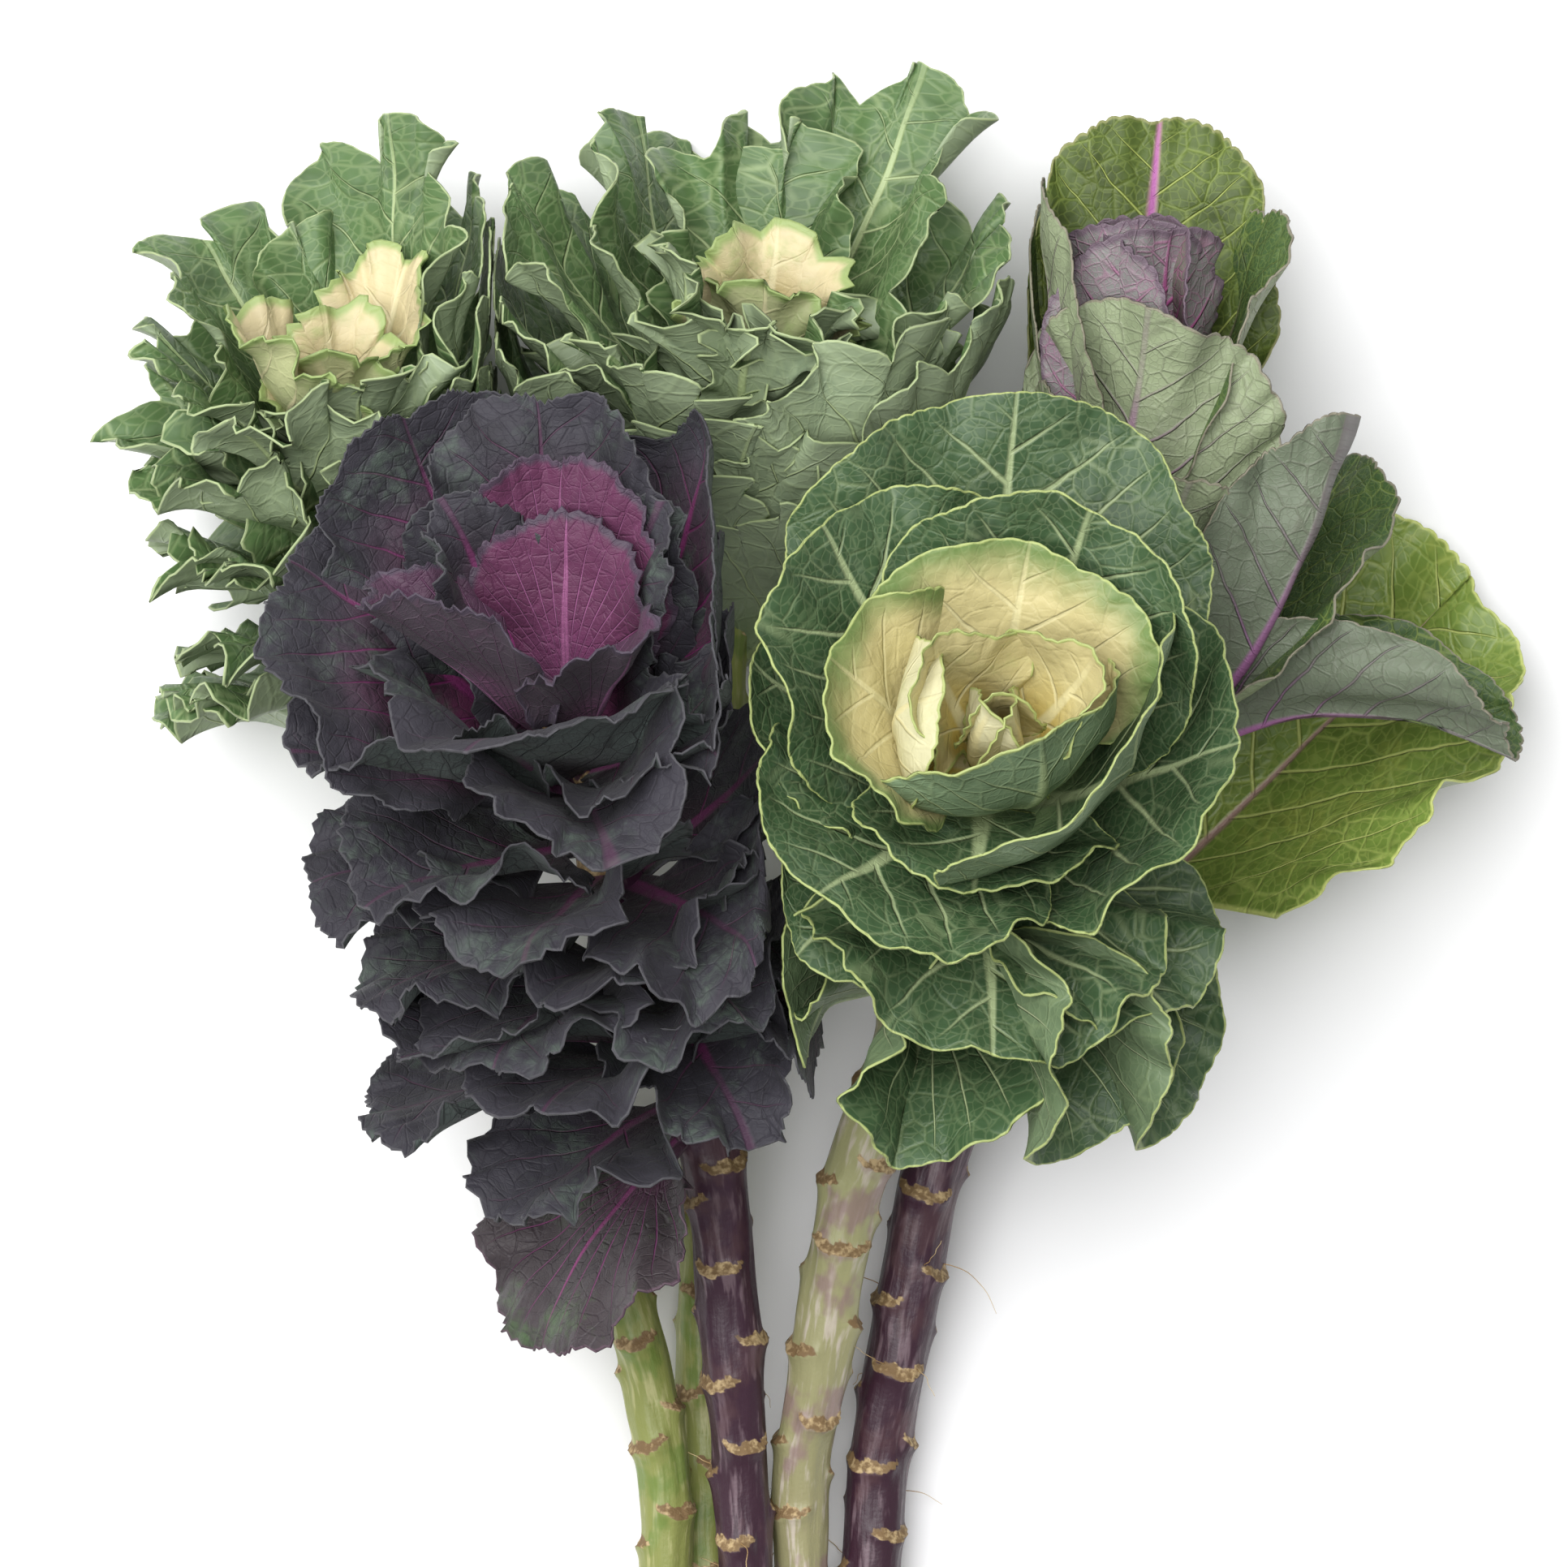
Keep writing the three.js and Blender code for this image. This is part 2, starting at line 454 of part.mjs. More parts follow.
// One leaf as a closed thin solid: an inner and an outer face split alike, joined by a rim.
// With a margin it comes out thicker and longer, to cut clear space for itself out of a neighbour.
function leafSolid(kaleName, row, index, margin = 0) {
  const kale = KALES[kaleName];
  const leaf = readLeaf(row);
  const seed = kale.seed + index;
  const { centre, along, right, under } = kale.line.frame(leaf.down);
  const direction = THREE.MathUtils.degToRad(leaf.direction);
  const outward = right.multiplyScalar(Math.cos(direction)).addScaledVector(under, Math.sin(direction));
  const midrib = traceMidrib(leaf, along, outward);
  const foot = centre.addScaledVector(outward, ROOT_RADIUS);
  let rows = leaf.length * leaf.width > LARGE_AREA ? LARGE_BLADE : SMALL_BLADE;
  if (kale.lobe > 0.05) rows = FRILLED_BLADE;
  let lines = bladePoints(leaf, kale, seed, midrib, foot, rows);
  if (lines.flat().some(grounded)) {
    rows = RESTING_BLADE;
    lines = bladePoints(leaf, kale, seed, midrib, foot, rows);
  }
  const middle = lines.flat();
  const halves = [];
  const indices = [];
  for (const [u, cells] of rows) {
    const spread = clamp01((u - STALK_SHARE) / (1 - STALK_SHARE));
    const half = BLADE / 2 + STALK_EXTRA / 2 * clamp01(1 - spread / 0.4) + margin;
    indices.push(Array.from({ length: cells + 1 }, (_, j) => halves.length + j));
    for (let j = 0; j <= cells; j++) halves.push(half);
  }
  const triangles = [];
  for (let i = 0; i < rows.length - 1; i++) triangles.push(...stripTriangles(indices[i], indices[i + 1]));
  const normals = middle.map(() => new THREE.Vector3());
  for (const [a, b, c] of triangles) {
    const face = new THREE.Vector3().crossVectors(
      middle[b].clone().sub(middle[a]), middle[c].clone().sub(middle[a]));
    for (const corner of [a, b, c]) normals[corner].add(face);
  }
  if (margin > 0) growRim(middle, indices, margin);
  const count = middle.length;
  const positions = [];
  for (const side of [1, -1]) {
    for (let i = 0; i < count; i++) {
      const facing = normals[i].clone().normalize();
      if (grounded(middle[i])) facing.set(0, 0, Math.sign(facing.z));
      const offset = facing.multiplyScalar(side * halves[i]);
      positions.push(...middle[i].clone().add(offset));
    }
  }
  const faces = [];
  for (const [a, b, c] of triangles) faces.push([a, b, c], [count + c, count + b, count + a]);
  const left = indices.slice(1, -1).map((line) => line[0]);
  const rightSide = indices.slice(1, -1).map((line) => line[line.length - 1]);
  const outline = [...indices[0], ...rightSide, ...indices[indices.length - 1].slice().reverse(), ...left.reverse()];
  outline.forEach((a, i) => {
    const b = outline[(i + 1) % outline.length];
    faces.push([b, a, count + a], [b, count + a, count + b]);
  });
  return solidFrom(positions, faces);
}

// Moves the rim of a leaf outwards in its own surface
function growRim(middle, indices, margin) {
  const last = indices.length - 1;
  const grown = new Map();
  const push = (edge, inner) => {
    const move = middle[edge].clone().sub(middle[inner]).setLength(margin);
    grown.set(edge, (grown.get(edge) ?? new THREE.Vector3()).add(move));
  };
  indices[last].forEach((edge, j) => {
    const share = j / (indices[last].length - 1) * (indices[last - 1].length - 1);
    push(edge, indices[last - 1][Math.round(share)]);
  });
  for (const line of indices.slice(1)) {
    push(line[0], line[1]);
    push(line[line.length - 1], line[line.length - 2]);
  }
  for (const [edge, move] of grown) middle[edge].add(move);
}

// A closed mesh becomes a solid. Points below the surface that the bunch lies on come up to it.
function solidFrom(positions, faces) {
  const grounded = positions.map((value, i) => (i % 3 === 2 ? Math.max(value, 0) : value));
  const mesh = new wasm.Mesh({
    numProp: 3,
    vertProperties: new Float32Array(grounded),
    triVerts: new Uint32Array(faces.flat()),
  });
  return new wasm.Manifold(mesh);
}

// Stretch of a stem between two distances from its cut end, with the ledges of its leaf scars
function stemSolid(kaleName, from, to, margin = 0) {
  const kale = KALES[kaleName];
  const line = kale.line;
  const rings = Math.max(2, Math.round((to - from) / STEM_STEP));
  const geometry = new THREE.CylinderGeometry(1, 1, 1, STEM_SIDES, rings);
  geometry.deleteAttribute('normal');
  geometry.deleteAttribute('uv');
  const tube = mergeVertices(geometry);
  const position = tube.getAttribute('position');
  const positions = [];
  for (let i = 0; i < position.count; i++) {
    const share = position.getY(i) + 0.5;
    const distance = THREE.MathUtils.lerp(from - margin, to + margin, share);
    const { centre, right, under } = line.frame(line.length - distance);
    const reach = Math.hypot(position.getX(i), position.getZ(i));
    const turn = Math.atan2(position.getZ(i), position.getX(i));
    const radius = reach * (line.radius(distance) + scar(kale.seed, distance, turn) + margin);
    positions.push(...centre
      .addScaledVector(right, radius * Math.cos(turn))
      .addScaledVector(under, radius * Math.sin(turn)));
  }
  const index = tube.getIndex().array;
  const faces = [];
  for (let i = 0; i < index.length; i += 3) faces.push([index[i + 2], index[i + 1], index[i]]);
  return solidFrom(positions, faces);
}

// Height of the leaf scars at a place on a stem: crescent ledges that climb round it by the golden angle
function scar(seed, distance, turn) {
  const golden = Math.PI * (3 - Math.sqrt(5));
  const number = Math.round(distance / SCAR_SPACING);
  const away = Math.abs(distance - number * SCAR_SPACING) / (SCAR_SPACING / 2);
  const facing = Math.cos(turn - number * golden - seed);
  return SCAR_HEIGHT * Math.max(0, facing) * (1 - away);
}

// Largest separate body of a solid, without loose scraps and closed hollows, and without the slivers
// that a cut leaves
function largest(solid) {
  let best = null;
  for (const piece of solid.simplify(SLIVER).decompose()) {
    if (!best || piece.volume() > best.volume()) best = piece;
  }
  return best;
}

function join(solids) {
  return wasm.Manifold.union(solids);
}

const names = Object.keys(KALES);
for (const name of names) KALES[name].line = new Core(KALES[name].core);

// The space that each kale takes, a little larger than itself
const claimed = {};
for (const name of names) {
  const { line, heart, leaves, leafyFrom, heartFrom } = KALES[name];
  const leafyStart = line.length - leafyFrom;
  const heartStart = line.length - heartFrom;
  const stem = stemSolid(name, 0, leafyStart - GAP / 2);
  const leafyStem = stemSolid(name, leafyStart + GAP / 2, heartStart - GAP / 2);
  const heartStem = stemSolid(name, heartStart + GAP / 2, line.length);
  const heartLeaves = heart.map((row, i) => leafSolid(name, row, i + 1));
  const outerLeaves = leaves.map((row, i) => leafSolid(name, row, FIRST_LEAF + i));
  const wideHeart = join([
    ...heartLeaves,
    ...heart.map((row, i) => leafSolid(name, row, i + 1, GAP)),
    stemSolid(name, heartStart, line.length, GAP),
  ]);
  claimed[name] = {
    stem,
    heart: join([heartStem, ...heartLeaves]),
    leaves: join([leafyStem, ...outerLeaves]),
    wideHeart,
    wideStem: stemSolid(name, 0, line.length, GAP),
    wideLeaves: () => join([
      ...outerLeaves,
      ...leaves.map((row, i) => leafSolid(name, row, FIRST_LEAF + i, GAP)),
    ]),
  };
}

const group = new THREE.Group();
const bodies = {};

function addMesh(name, solid, colour, roughness) {
  const mesh = solid.getMesh();
  const geometry = new THREE.BufferGeometry();
  const positions = Float32Array.from(mesh.vertProperties, (value) => Math.round(value / ROUNDING) * ROUNDING);
  geometry.setAttribute('position', new THREE.BufferAttribute(positions, 3));
  geometry.setIndex(new THREE.BufferAttribute(new Uint32Array(mesh.triVerts), 1));
  geometry.translate(-ORIGIN[0], -ORIGIN[1], -ORIGIN[2]);
  const material = new THREE.MeshStandardMaterial({ color: colour, roughness, metalness: 0 });
  const piece = new THREE.Mesh(geometry, material);
  piece.name = name;
  group.add(piece);
}

names.forEach((name, order) => {
  const own = claimed[name];
  const others = names.filter((other) => other !== name);
  const heart = largest(own.heart.subtract(join(others.map((other) => claimed[other].wideStem))));
  const obstacles = [own.wideHeart, stemSolid(name, 0, KALES[name].line.length - KALES[name].leafyFrom, GAP)];
  for (const other of others) obstacles.push(claimed[other].wideStem, claimed[other].wideHeart);
  for (const earlier of names.slice(0, order)) obstacles.push(claimed[earlier].wideLeaves());
  const leaves = largest(own.leaves.subtract(join(obstacles)));
  addMesh(`${name}_stem`, own.stem, KALES[name].colours.stem, 0.55);
  addMesh(`${name}_leaves`, leaves, KALES[name].colours.leaves, 0.6);
  addMesh(`${name}_heart`, heart, KALES[name].colours.heart, 0.55);
});

export default group;
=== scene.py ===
import math

import bpy
import numpy as np
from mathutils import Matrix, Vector


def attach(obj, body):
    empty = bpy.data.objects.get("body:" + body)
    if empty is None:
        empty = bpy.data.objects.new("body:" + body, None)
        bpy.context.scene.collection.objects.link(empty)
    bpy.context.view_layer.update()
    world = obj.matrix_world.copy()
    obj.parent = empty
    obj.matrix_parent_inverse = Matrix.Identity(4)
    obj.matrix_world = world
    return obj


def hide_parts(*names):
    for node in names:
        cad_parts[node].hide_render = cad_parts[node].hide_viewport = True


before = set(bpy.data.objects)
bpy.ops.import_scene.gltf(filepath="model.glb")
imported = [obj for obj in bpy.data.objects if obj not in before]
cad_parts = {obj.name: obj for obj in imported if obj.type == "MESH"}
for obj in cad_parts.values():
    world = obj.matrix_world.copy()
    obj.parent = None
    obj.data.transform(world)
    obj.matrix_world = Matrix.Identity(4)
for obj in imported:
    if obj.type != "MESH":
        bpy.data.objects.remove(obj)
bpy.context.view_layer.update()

bl_info = {
    "name": "Purple Kale Bunch",
    "version": (1, 0, 0),
    "blender": (4, 5, 0),
    "location": "3D View > Sidebar > Kale",
    "description": "Dresses the five cut kales of a bunch in fine leaves, veined colours and scarred stems",
    "category": "Add Mesh",
}

MM = 0.001
ORIGIN = np.array([7.0, -61.0, 0.0])   # bottom centre of the bunch, in the frame of the tables below, in mm

# Shape of a leaf outline in its own flat plan, the same for every leaf
FAN = math.radians(76)       # half angle over which the blade fans out from the stalk
FAN_ROUNDNESS = 0.6
FAN_REACH = 1.19             # width of that outline divided by its length
STALK_SHARE = 0.18           # share of the rows that belongs to the stalk
FAN_START = 0.1              # size of the fan where the stalk ends
TIP_BLUNTNESS = 0.85
STALK_HALF_WIDTH = 4.0
ROOT_RADIUS = 3.0            # how far from the stem's centre line a leaf starts
PRESS_SOFTNESS = 9.0         # distance from a neighbour at which a leaf starts to give way to it
FLOOR_SOFTNESS = 5.0         # height below which a leaf starts to give way to the surface
FLOOR_BITE = 1.4             # how firmly the lowest leaves are pressed flat on it
FLOOR_HEIGHT = 0.4           # height of the middle of a blade that lies flat

# Columns of a leaf row: direction round the stem in degrees (0 right, 90 against the surface, 180 left and
# 270 up towards the viewer), distance below the top of the stem, blade length, blade width, stalk length,
# tilt away from the stem at the foot and at the tip in degrees, cupping across and fold along the midrib in
# degrees, sway and roll of the midrib in degrees, height of the waved edge, number of waves and, where there
# is any, how far the rim flares out backwards. Lengths are in mm.
LEAF_COLUMNS = (
    "direction", "down", "length", "width", "stalk", "tilt", "tip_tilt",
    "cup", "fold", "sway", "roll", "wave", "waves", "flare",
)

# The camera sees VIEW_WIDTH at VIEW_DISTANCE below it, the depth of the bunch's middle. Both are in mm.
SENSOR_WIDTH = 36
VIEW_DISTANCE = 1620
VIEW_WIDTH = 386.4
LENS = SENSOR_WIDTH * VIEW_DISTANCE / VIEW_WIDTH

# Each kale has the seed of its draws, the depth and number of the lobes of its leaves, how frilled their rims
# are, the height and pitch of the teeth, the height of puckers and crimps, and how far the rims flare out
# backwards. A row of its core is a point of the stem's centre line and the radius there, from the cut end to
# the top, and rows of its heart and its outer leaves are leaf rows. Lengths are in mm.
KALES = {
    "purple": {
        "seed": 650, "lobe": 0.03, "lobes": 4.3, "frill": 0.6, "tooth": 0.95, "tooth_pitch": 2.7,
        "pucker": 1.6, "crimp": 1.1, "flare": 2,
        "core": [
            [-6, -300, 24, 7], [-10, -193, 28, 7.2], [-13, -147, 36, 8], [-17, -103, 44, 8.2],
            [-24, -70, 54, 8], [-38, -32, 70, 7.5], [-49, -4, 90, 7], [-54, 18, 110, 5],
        ],
        "heart": [
            [76, 5, 46, 48, 5, 26, 18, 28, 0, -6, 0, 2, 5],
            [84, 12, 66, 54, 5, 28, 20, 26, 0, -6, 0, 3, 5],
            [194, 8, 58, 50, 6, 32, 40, 24, 34, -10, -26, 3, 5],
            [322, 6, 42, 44, 6, 38, 30, 34, 22, 0, 14, 3.5, 4],
        ],
        "leaves": [
            [82, 24, 88, 72, 6, 28, 26, 30, 0, 0, 0, 4.5, 5],
            [40, 30, 96, 84, 6, 44, 44, 25, 0, 0, 0, 4, 6],
            [158, 22, 80, 100, 6, 42, 46, 22, 0, 0, 0, 3, 5],
            [114, 34, 106, 76, 6, 34, 28, 25, 0, 0, 0, 4, 5],
            [198, 26, 68, 74, 6, 60, 48, 70, 24, 0, 0, 4, 5, 4],
            [252, 18, 56, 84, 6, 46, 22, 70, 0, 0, 0, 5, 5, 7],
            [284, 24, 58, 66, 6, 60, 66, 75, 20, 0, 0, 5, 4, 6],
            [322, 20, 56, 60, 6, 58, 62, 60, 0, 0, 0, 6, 5],
            [345, 28, 66, 62, 6, 60, 54, 60, 0, 0, 0, 6, 5],
            [15, 34, 74, 64, 6, 52, 40, 40, 0, 0, 0, 5, 5],
            [218, 42, 56, 66, 8, 66, 52, 60, 0, 0, 0, 5, 5, 5],
            [258, 50, 54, 68, 8, 72, 54, 75, 0, 0, 0, 5, 5, 7],
            [306, 56, 62, 66, 8, 82, 88, 50, 8, 0, 0, 6, 5, 5],
            [188, 44, 62, 62, 8, 72, 78, 30, 0, 0, 0, 5, 5],
            [206, 60, 58, 56, 10, 80, 86, 35, 0, 0, 0, 5, 5],
            [176, 84, 56, 44, 14, 72, 66, 30, 10, 0, 0, 3, 4],
            [214, 100, 66, 70, 10, 62, 66, 35, 0, 0, 0, 5, 5],
            [246, 104, 58, 76, 8, 74, 66, 60, 0, 0, 0, 7, 5, 5],
            [190, 112, 68, 58, 12, 74, 84, 30, 0, 0, 0, 5, 5],
            [332, 92, 68, 66, 8, 90, 116, 30, 0, 0, 0, 5, 5],
            [214, 126, 60, 76, 10, 112, 134, 20, 0, 0, 0, 4, 5],
            [16, 58, 60, 56, 8, 70, 76, 30, 0, 0, 0, 4, 4],
            [128, 18, 66, 40, 6, 26, 16, 45, 8, 0, 0, 3.5, 5],
            [38, 18, 62, 42, 6, 32, 26, 35, 0, 0, 0, 3.5, 5],
            [286, 90, 54, 54, 8, 96, 122, 40, 10, 0, 0, 6, 5],
            [280, 72, 54, 64, 8, 74, 62, 70, 0, 0, 0, 7, 5, 6],
            [226, 118, 54, 64, 8, 84, 104, 40, 0, 0, 0, 7, 5],
            [352, 64, 62, 60, 8, 70, 74, 30, 0, 0, 0, 5, 5],
            [340, 84, 60, 60, 8, 80, 96, 30, 0, 0, 0, 5, 5],
            [294, 84, 56, 64, 8, 78, 82, 60, 0, 0, 0, 6, 5, 5],
            [236, 76, 56, 62, 8, 78, 84, 50, 0, 0, 0, 6, 5, 5],
        ],
    },
    "cream": {
        "seed": 660, "lobe": 0.02, "lobes": 3.3, "frill": 0.2, "tooth": 0.4, "tooth_pitch": 4,
        "pucker": 1.6, "crimp": 0.5, "flare": 1.5,
        "core": [
            [11, -300, 18, 7], [4, -193, 20, 7.2], [9, -147, 34, 8], [17, -103, 44, 8.2],
            [25, -78, 54, 8], [37, -44, 66, 7.5], [46, -16, 84, 7], [49, -1, 104, 6], [50, 8, 122, 4],
        ],
        "heart": [
            [100, 2, 24, 24, 2, 14, -24, 55, 12, 0, 0, 1, 3],
            [140, 7, 40, 44, 3, 40, 6, 55, 10, 0, 0, 1.6, 4],
            [24, 8, 42, 44, 3, 46, 4, 60, 6, 0, 0, 2, 4],
            [176, 9, 50, 44, 3, 82, -52, 40, 0, 0, 0, 1.4, 3],
            [80, 12, 52, 80, 3, 52, 34, 42, 0, 0, 0, 2, 4],
            [166, 14, 52, 70, 3, 56, 30, 50, 0, 0, 0, 2.5, 4],
            [300, 14, 50, 84, 3, 54, -22, 70, 0, 0, 0, 1.5, 4],
            [216, 3, 26, 24, 2, 20, -26, 55, 12, 0, 0, 1, 3],
            [336, 4, 27, 26, 2, 24, -22, 55, 10, 0, 0, 1, 3],
        ],
        "leaves": [
            [66, 20, 70, 88, 4, 54, 20, 40, 0, 0, 0, 2, 4],
            [136, 22, 72, 90, 4, 56, 42, 34, 0, 0, 0, 3, 4],
            [332, 22, 68, 112, 4, 60, -6, 55, 0, 0, 0, 2, 4],
            [228, 24, 66, 84, 4, 66, 60, 32, 0, 0, 0, 3.5, 4],
            [88, 28, 94, 104, 4, 58, 44, 25, 0, 0, 0, 3, 5],
            [352, 32, 68, 100, 4, 60, 34, 35, 0, 0, 0, 3, 4],
            [166, 32, 66, 74, 4, 64, 50, 30, 0, 0, 0, 3, 4],
            [272, 36, 62, 88, 6, 82, 94, 25, 0, 0, 0, 6, 5],
            [226, 40, 56, 52, 6, 84, 92, 25, 0, 0, 0, 3, 4],
            [312, 48, 60, 72, 8, 78, 90, 25, 0, 0, 0, 5, 5],
            [230, 70, 62, 62, 8, 92, 128, 55, 52, 0, -50, 5, 5],
            [266, 82, 60, 74, 8, 92, 130, 50, 36, 0, 20, 5, 5],
            [292, 66, 66, 84, 8, 88, 122, 50, 24, 0, 40, 5, 5],
            [316, 68, 66, 80, 10, 88, 116, 50, 26, 0, 34, 5, 5],
            [206, 62, 52, 60, 8, 88, 104, 40, 14, 0, 0, 5, 5],
            [220, 84, 58, 58, 8, 94, 126, 45, 24, 0, -20, 4, 5],
            [262, 18, 42, 64, 4, 64, 54, 35, 0, 0, 0, 2, 4],
        ],
    },
    "tall": {
        "seed": 670, "lobe": 0.02, "lobes": 4.3, "frill": 0.2, "tooth": 0.8, "tooth_pitch": 4.6,
        "pucker": 1.2, "crimp": 0.5, "flare": 1,
        "core": [
            [26, -300, 7.5, 7.5], [23, -193, 12, 8], [29, -147, 18, 8.2], [37, -103, 24, 8.2],
            [52, -57, 30, 8], [70, -7, 38, 7.5], [82, 41, 46, 7], [86, 76, 52, 6.5], [87, 100, 58, 5],
        ],
        "heart": [
            [262, 8, 48, 52, 2, 6, -4, 75, 0, 0, 0, 1, 5],
            [60, 10, 50, 48, 2, 6, -4, 70, 0, 0, 0, 1, 5],
            [300, 24, 62, 60, 3, 9, 2, 60, 0, 0, 0, 1.5, 5],
            [200, 26, 62, 50, 3, 10, 6, 55, 0, 0, 0, 1.5, 5],
        ],
        "leaves": [
            [86, 34, 98, 70, 4, 18, 10, 30, 0, 0, 0, 3, 5],
            [180, 38, 86, 50, 4, 24, 12, 45, 0, 0, 0, 2, 4],
            [254, 62, 80, 78, 6, 20, 8, 24, 4, 0, 0, 5, 6, 3],
            [324, 112, 122, 54, 8, 44, -8, 20, 40, 0, 0, 4, 5, 3],
            [280, 98, 80, 54, 6, 24, 12, 40, 6, 0, 0, 2.5, 4, 2],
            [22, 100, 102, 96, 6, 42, 14, 22, 0, 0, 0, 4, 5],
            [196, 90, 84, 50, 6, 24, 18, 35, 0, 0, 0, 2.5, 4],
            [92, 84, 90, 70, 6, 42, 34, 25, 0, 0, 0, 2.5, 4],
            [44, 174, 122, 126, 56, 42, 14, 20, 14, -22, -14, 5, 6],
            [342, 140, 112, 58, 34, 6, 92, 60, 34, 0, 0, 4, 5],
            [150, 130, 76, 60, 6, 44, 36, 25, 0, 0, 0, 2.5, 4],
            [316, 128, 44, 30, 18, 34, 10, 80, 20, 0, 0, 2, 4],
            [140, 46, 88, 56, 4, 28, 20, 45, 0, 0, 0, 2, 4],
            [20, 42, 88, 60, 4, 22, 14, 40, 0, 0, 0, 2, 4],
        ],
    },
    "frilledLeft": {
        "seed": 680, "lobe": 0.07, "lobes": 6.7, "frill": 1.0, "tooth": 0.45, "tooth_pitch": 4.5,
        "pucker": 1.8, "crimp": 1.5, "flare": 5,
        "core": [
            [-38, -300, 6.8, 6.8], [-30, -193, 20, 7], [-34, -157, 23, 7], [-39, -135, 26, 7],
            [-53, -87, 30, 7], [-73, -27, 36, 7], [-93, 30, 42, 6.5], [-104, 66, 50, 6],
            [-108, 86, 60, 5],
        ],
        "heart": [
            [250, 4, 30, 32, 2, 22, -14, 75, 0, 0, 0, 2.4, 6],
            [110, 4, 34, 36, 2, 18, -8, 80, 0, 0, 0, 2.4, 6],
            [50, 8, 50, 34, 3, 34, 22, 80, 10, 0, 0, 3, 6],
            [196, 10, 48, 52, 3, 30, 8, 85, 0, 0, 0, 3, 6],
        ],
        "leaves": [
            [285, 16, 44, 56, 3, 40, 20, 60, 0, 0, 0, 7, 6],
            [132, 18, 76, 72, 4, 34, 24, 55, 6, 0, -14, 7, 5],
            [52, 20, 90, 66, 4, 32, 22, 65, 8, 0, 0, 7, 5],
            [180, 20, 64, 66, 4, 38, 26, 40, 0, 0, 0, 7, 6],
            [152, 32, 66, 76, 5, 42, 30, 25, 0, 0, 0, 7, 6],
            [200, 34, 56, 70, 5, 52, 42, 35, 0, 0, 0, 7, 6],
            [92, 36, 84, 74, 6, 50, 44, 20, 0, 0, 0, 6, 5],
            [318, 34, 50, 60, 5, 56, 44, 40, 0, 0, 0, 7, 6],
            [230, 50, 50, 62, 6, 56, 50, 40, 0, 0, 0, 7, 6],
            [176, 54, 56, 70, 8, 48, 44, 30, 0, 0, 0, 7, 6],
            [204, 70, 52, 66, 8, 54, 56, 30, 0, 0, 0, 7, 6],
            [172, 86, 62, 70, 8, 52, 62, 30, 0, 0, 0, 7, 6],
            [240, 22, 54, 60, 4, 50, 34, 50, 0, 0, 0, 7, 6],
            [8, 30, 82, 66, 5, 48, 34, 40, 0, 0, 0, 6, 5],
            [340, 46, 64, 60, 6, 54, 36, 45, 0, 0, 0, 7, 6],
            [188, 80, 58, 66, 8, 54, 64, 35, 0, 0, 0, 7, 6],
            [28, 26, 84, 62, 4, 42, 26, 55, 6, 0, 0, 6, 5],
        ],
    },
    "frilledMiddle": {
        "seed": 690, "lobe": 0.07, "lobes": 6.7, "frill": 1.0, "tooth": 0.45, "tooth_pitch": 4.5,
        "pucker": 1.8, "crimp": 1.5, "flare": 5,
        "core": [
            [-19, -300, 6.8, 6.8], [-20, -193, 9, 7], [-21, -147, 12, 7], [-19, -87, 17, 7],
            [-17, -7, 28, 7], [-15, 53, 40, 6.5], [-10, 88, 50, 6], [-7, 104, 58, 5],
        ],
        "heart": [
            [262, 4, 28, 34, 2, 20, -12, 75, 0, 0, 0, 2.6, 6],
            [86, 5, 36, 48, 2, 24, 2, 85, 0, 0, 0, 2.8, 6],
        ],
        "leaves": [
            [200, 12, 44, 48, 3, 36, 20, 45, 0, 0, 0, 7, 6],
            [262, 22, 46, 56, 4, 46, 20, 55, 0, 0, 0, 7, 6],
            [52, 24, 100, 72, 4, 34, 20, 60, 6, 0, 0, 7, 5],
            [100, 24, 80, 52, 4, 30, 20, 75, 10, 0, 16, 7, 5],
            [166, 28, 86, 72, 4, 58, 36, 35, 0, 0, 0, 6, 5],
            [132, 30, 90, 80, 4, 46, 28, 50, 6, 0, -16, 7, 5],
            [20, 34, 92, 62, 4, 52, 20, 60, 8, 0, 0, 7, 5],
            [322, 46, 76, 76, 8, 70, 2, 50, 0, 0, 0, 6, 5],
            [350, 50, 92, 74, 8, 70, 8, 50, 0, 0, 0, 6, 5],
            [228, 40, 62, 66, 5, 62, 30, 50, 0, 0, 0, 7, 6],
            [190, 48, 84, 70, 6, 66, 40, 40, 0, 0, 0, 6, 5],
            [272, 60, 60, 70, 6, 56, 26, 50, 0, 0, 0, 7, 6],
            [240, 76, 62, 66, 6, 60, 40, 40, 0, 0, 0, 7, 6],
            [96, 56, 84, 76, 6, 52, 46, 25, 0, 0, 0, 6, 5],
            [306, 84, 58, 60, 6, 60, 34, 40, 0, 0, 0, 7, 6],
            [312, 14, 40, 48, 3, 40, 16, 60, 0, 0, 0, 7, 6],
            [178, 34, 88, 72, 5, 62, 52, 35, 0, 0, 0, 6, 5],
            [206, 60, 78, 66, 6, 64, 46, 40, 0, 0, 0, 6, 5],
        ],
    },
}

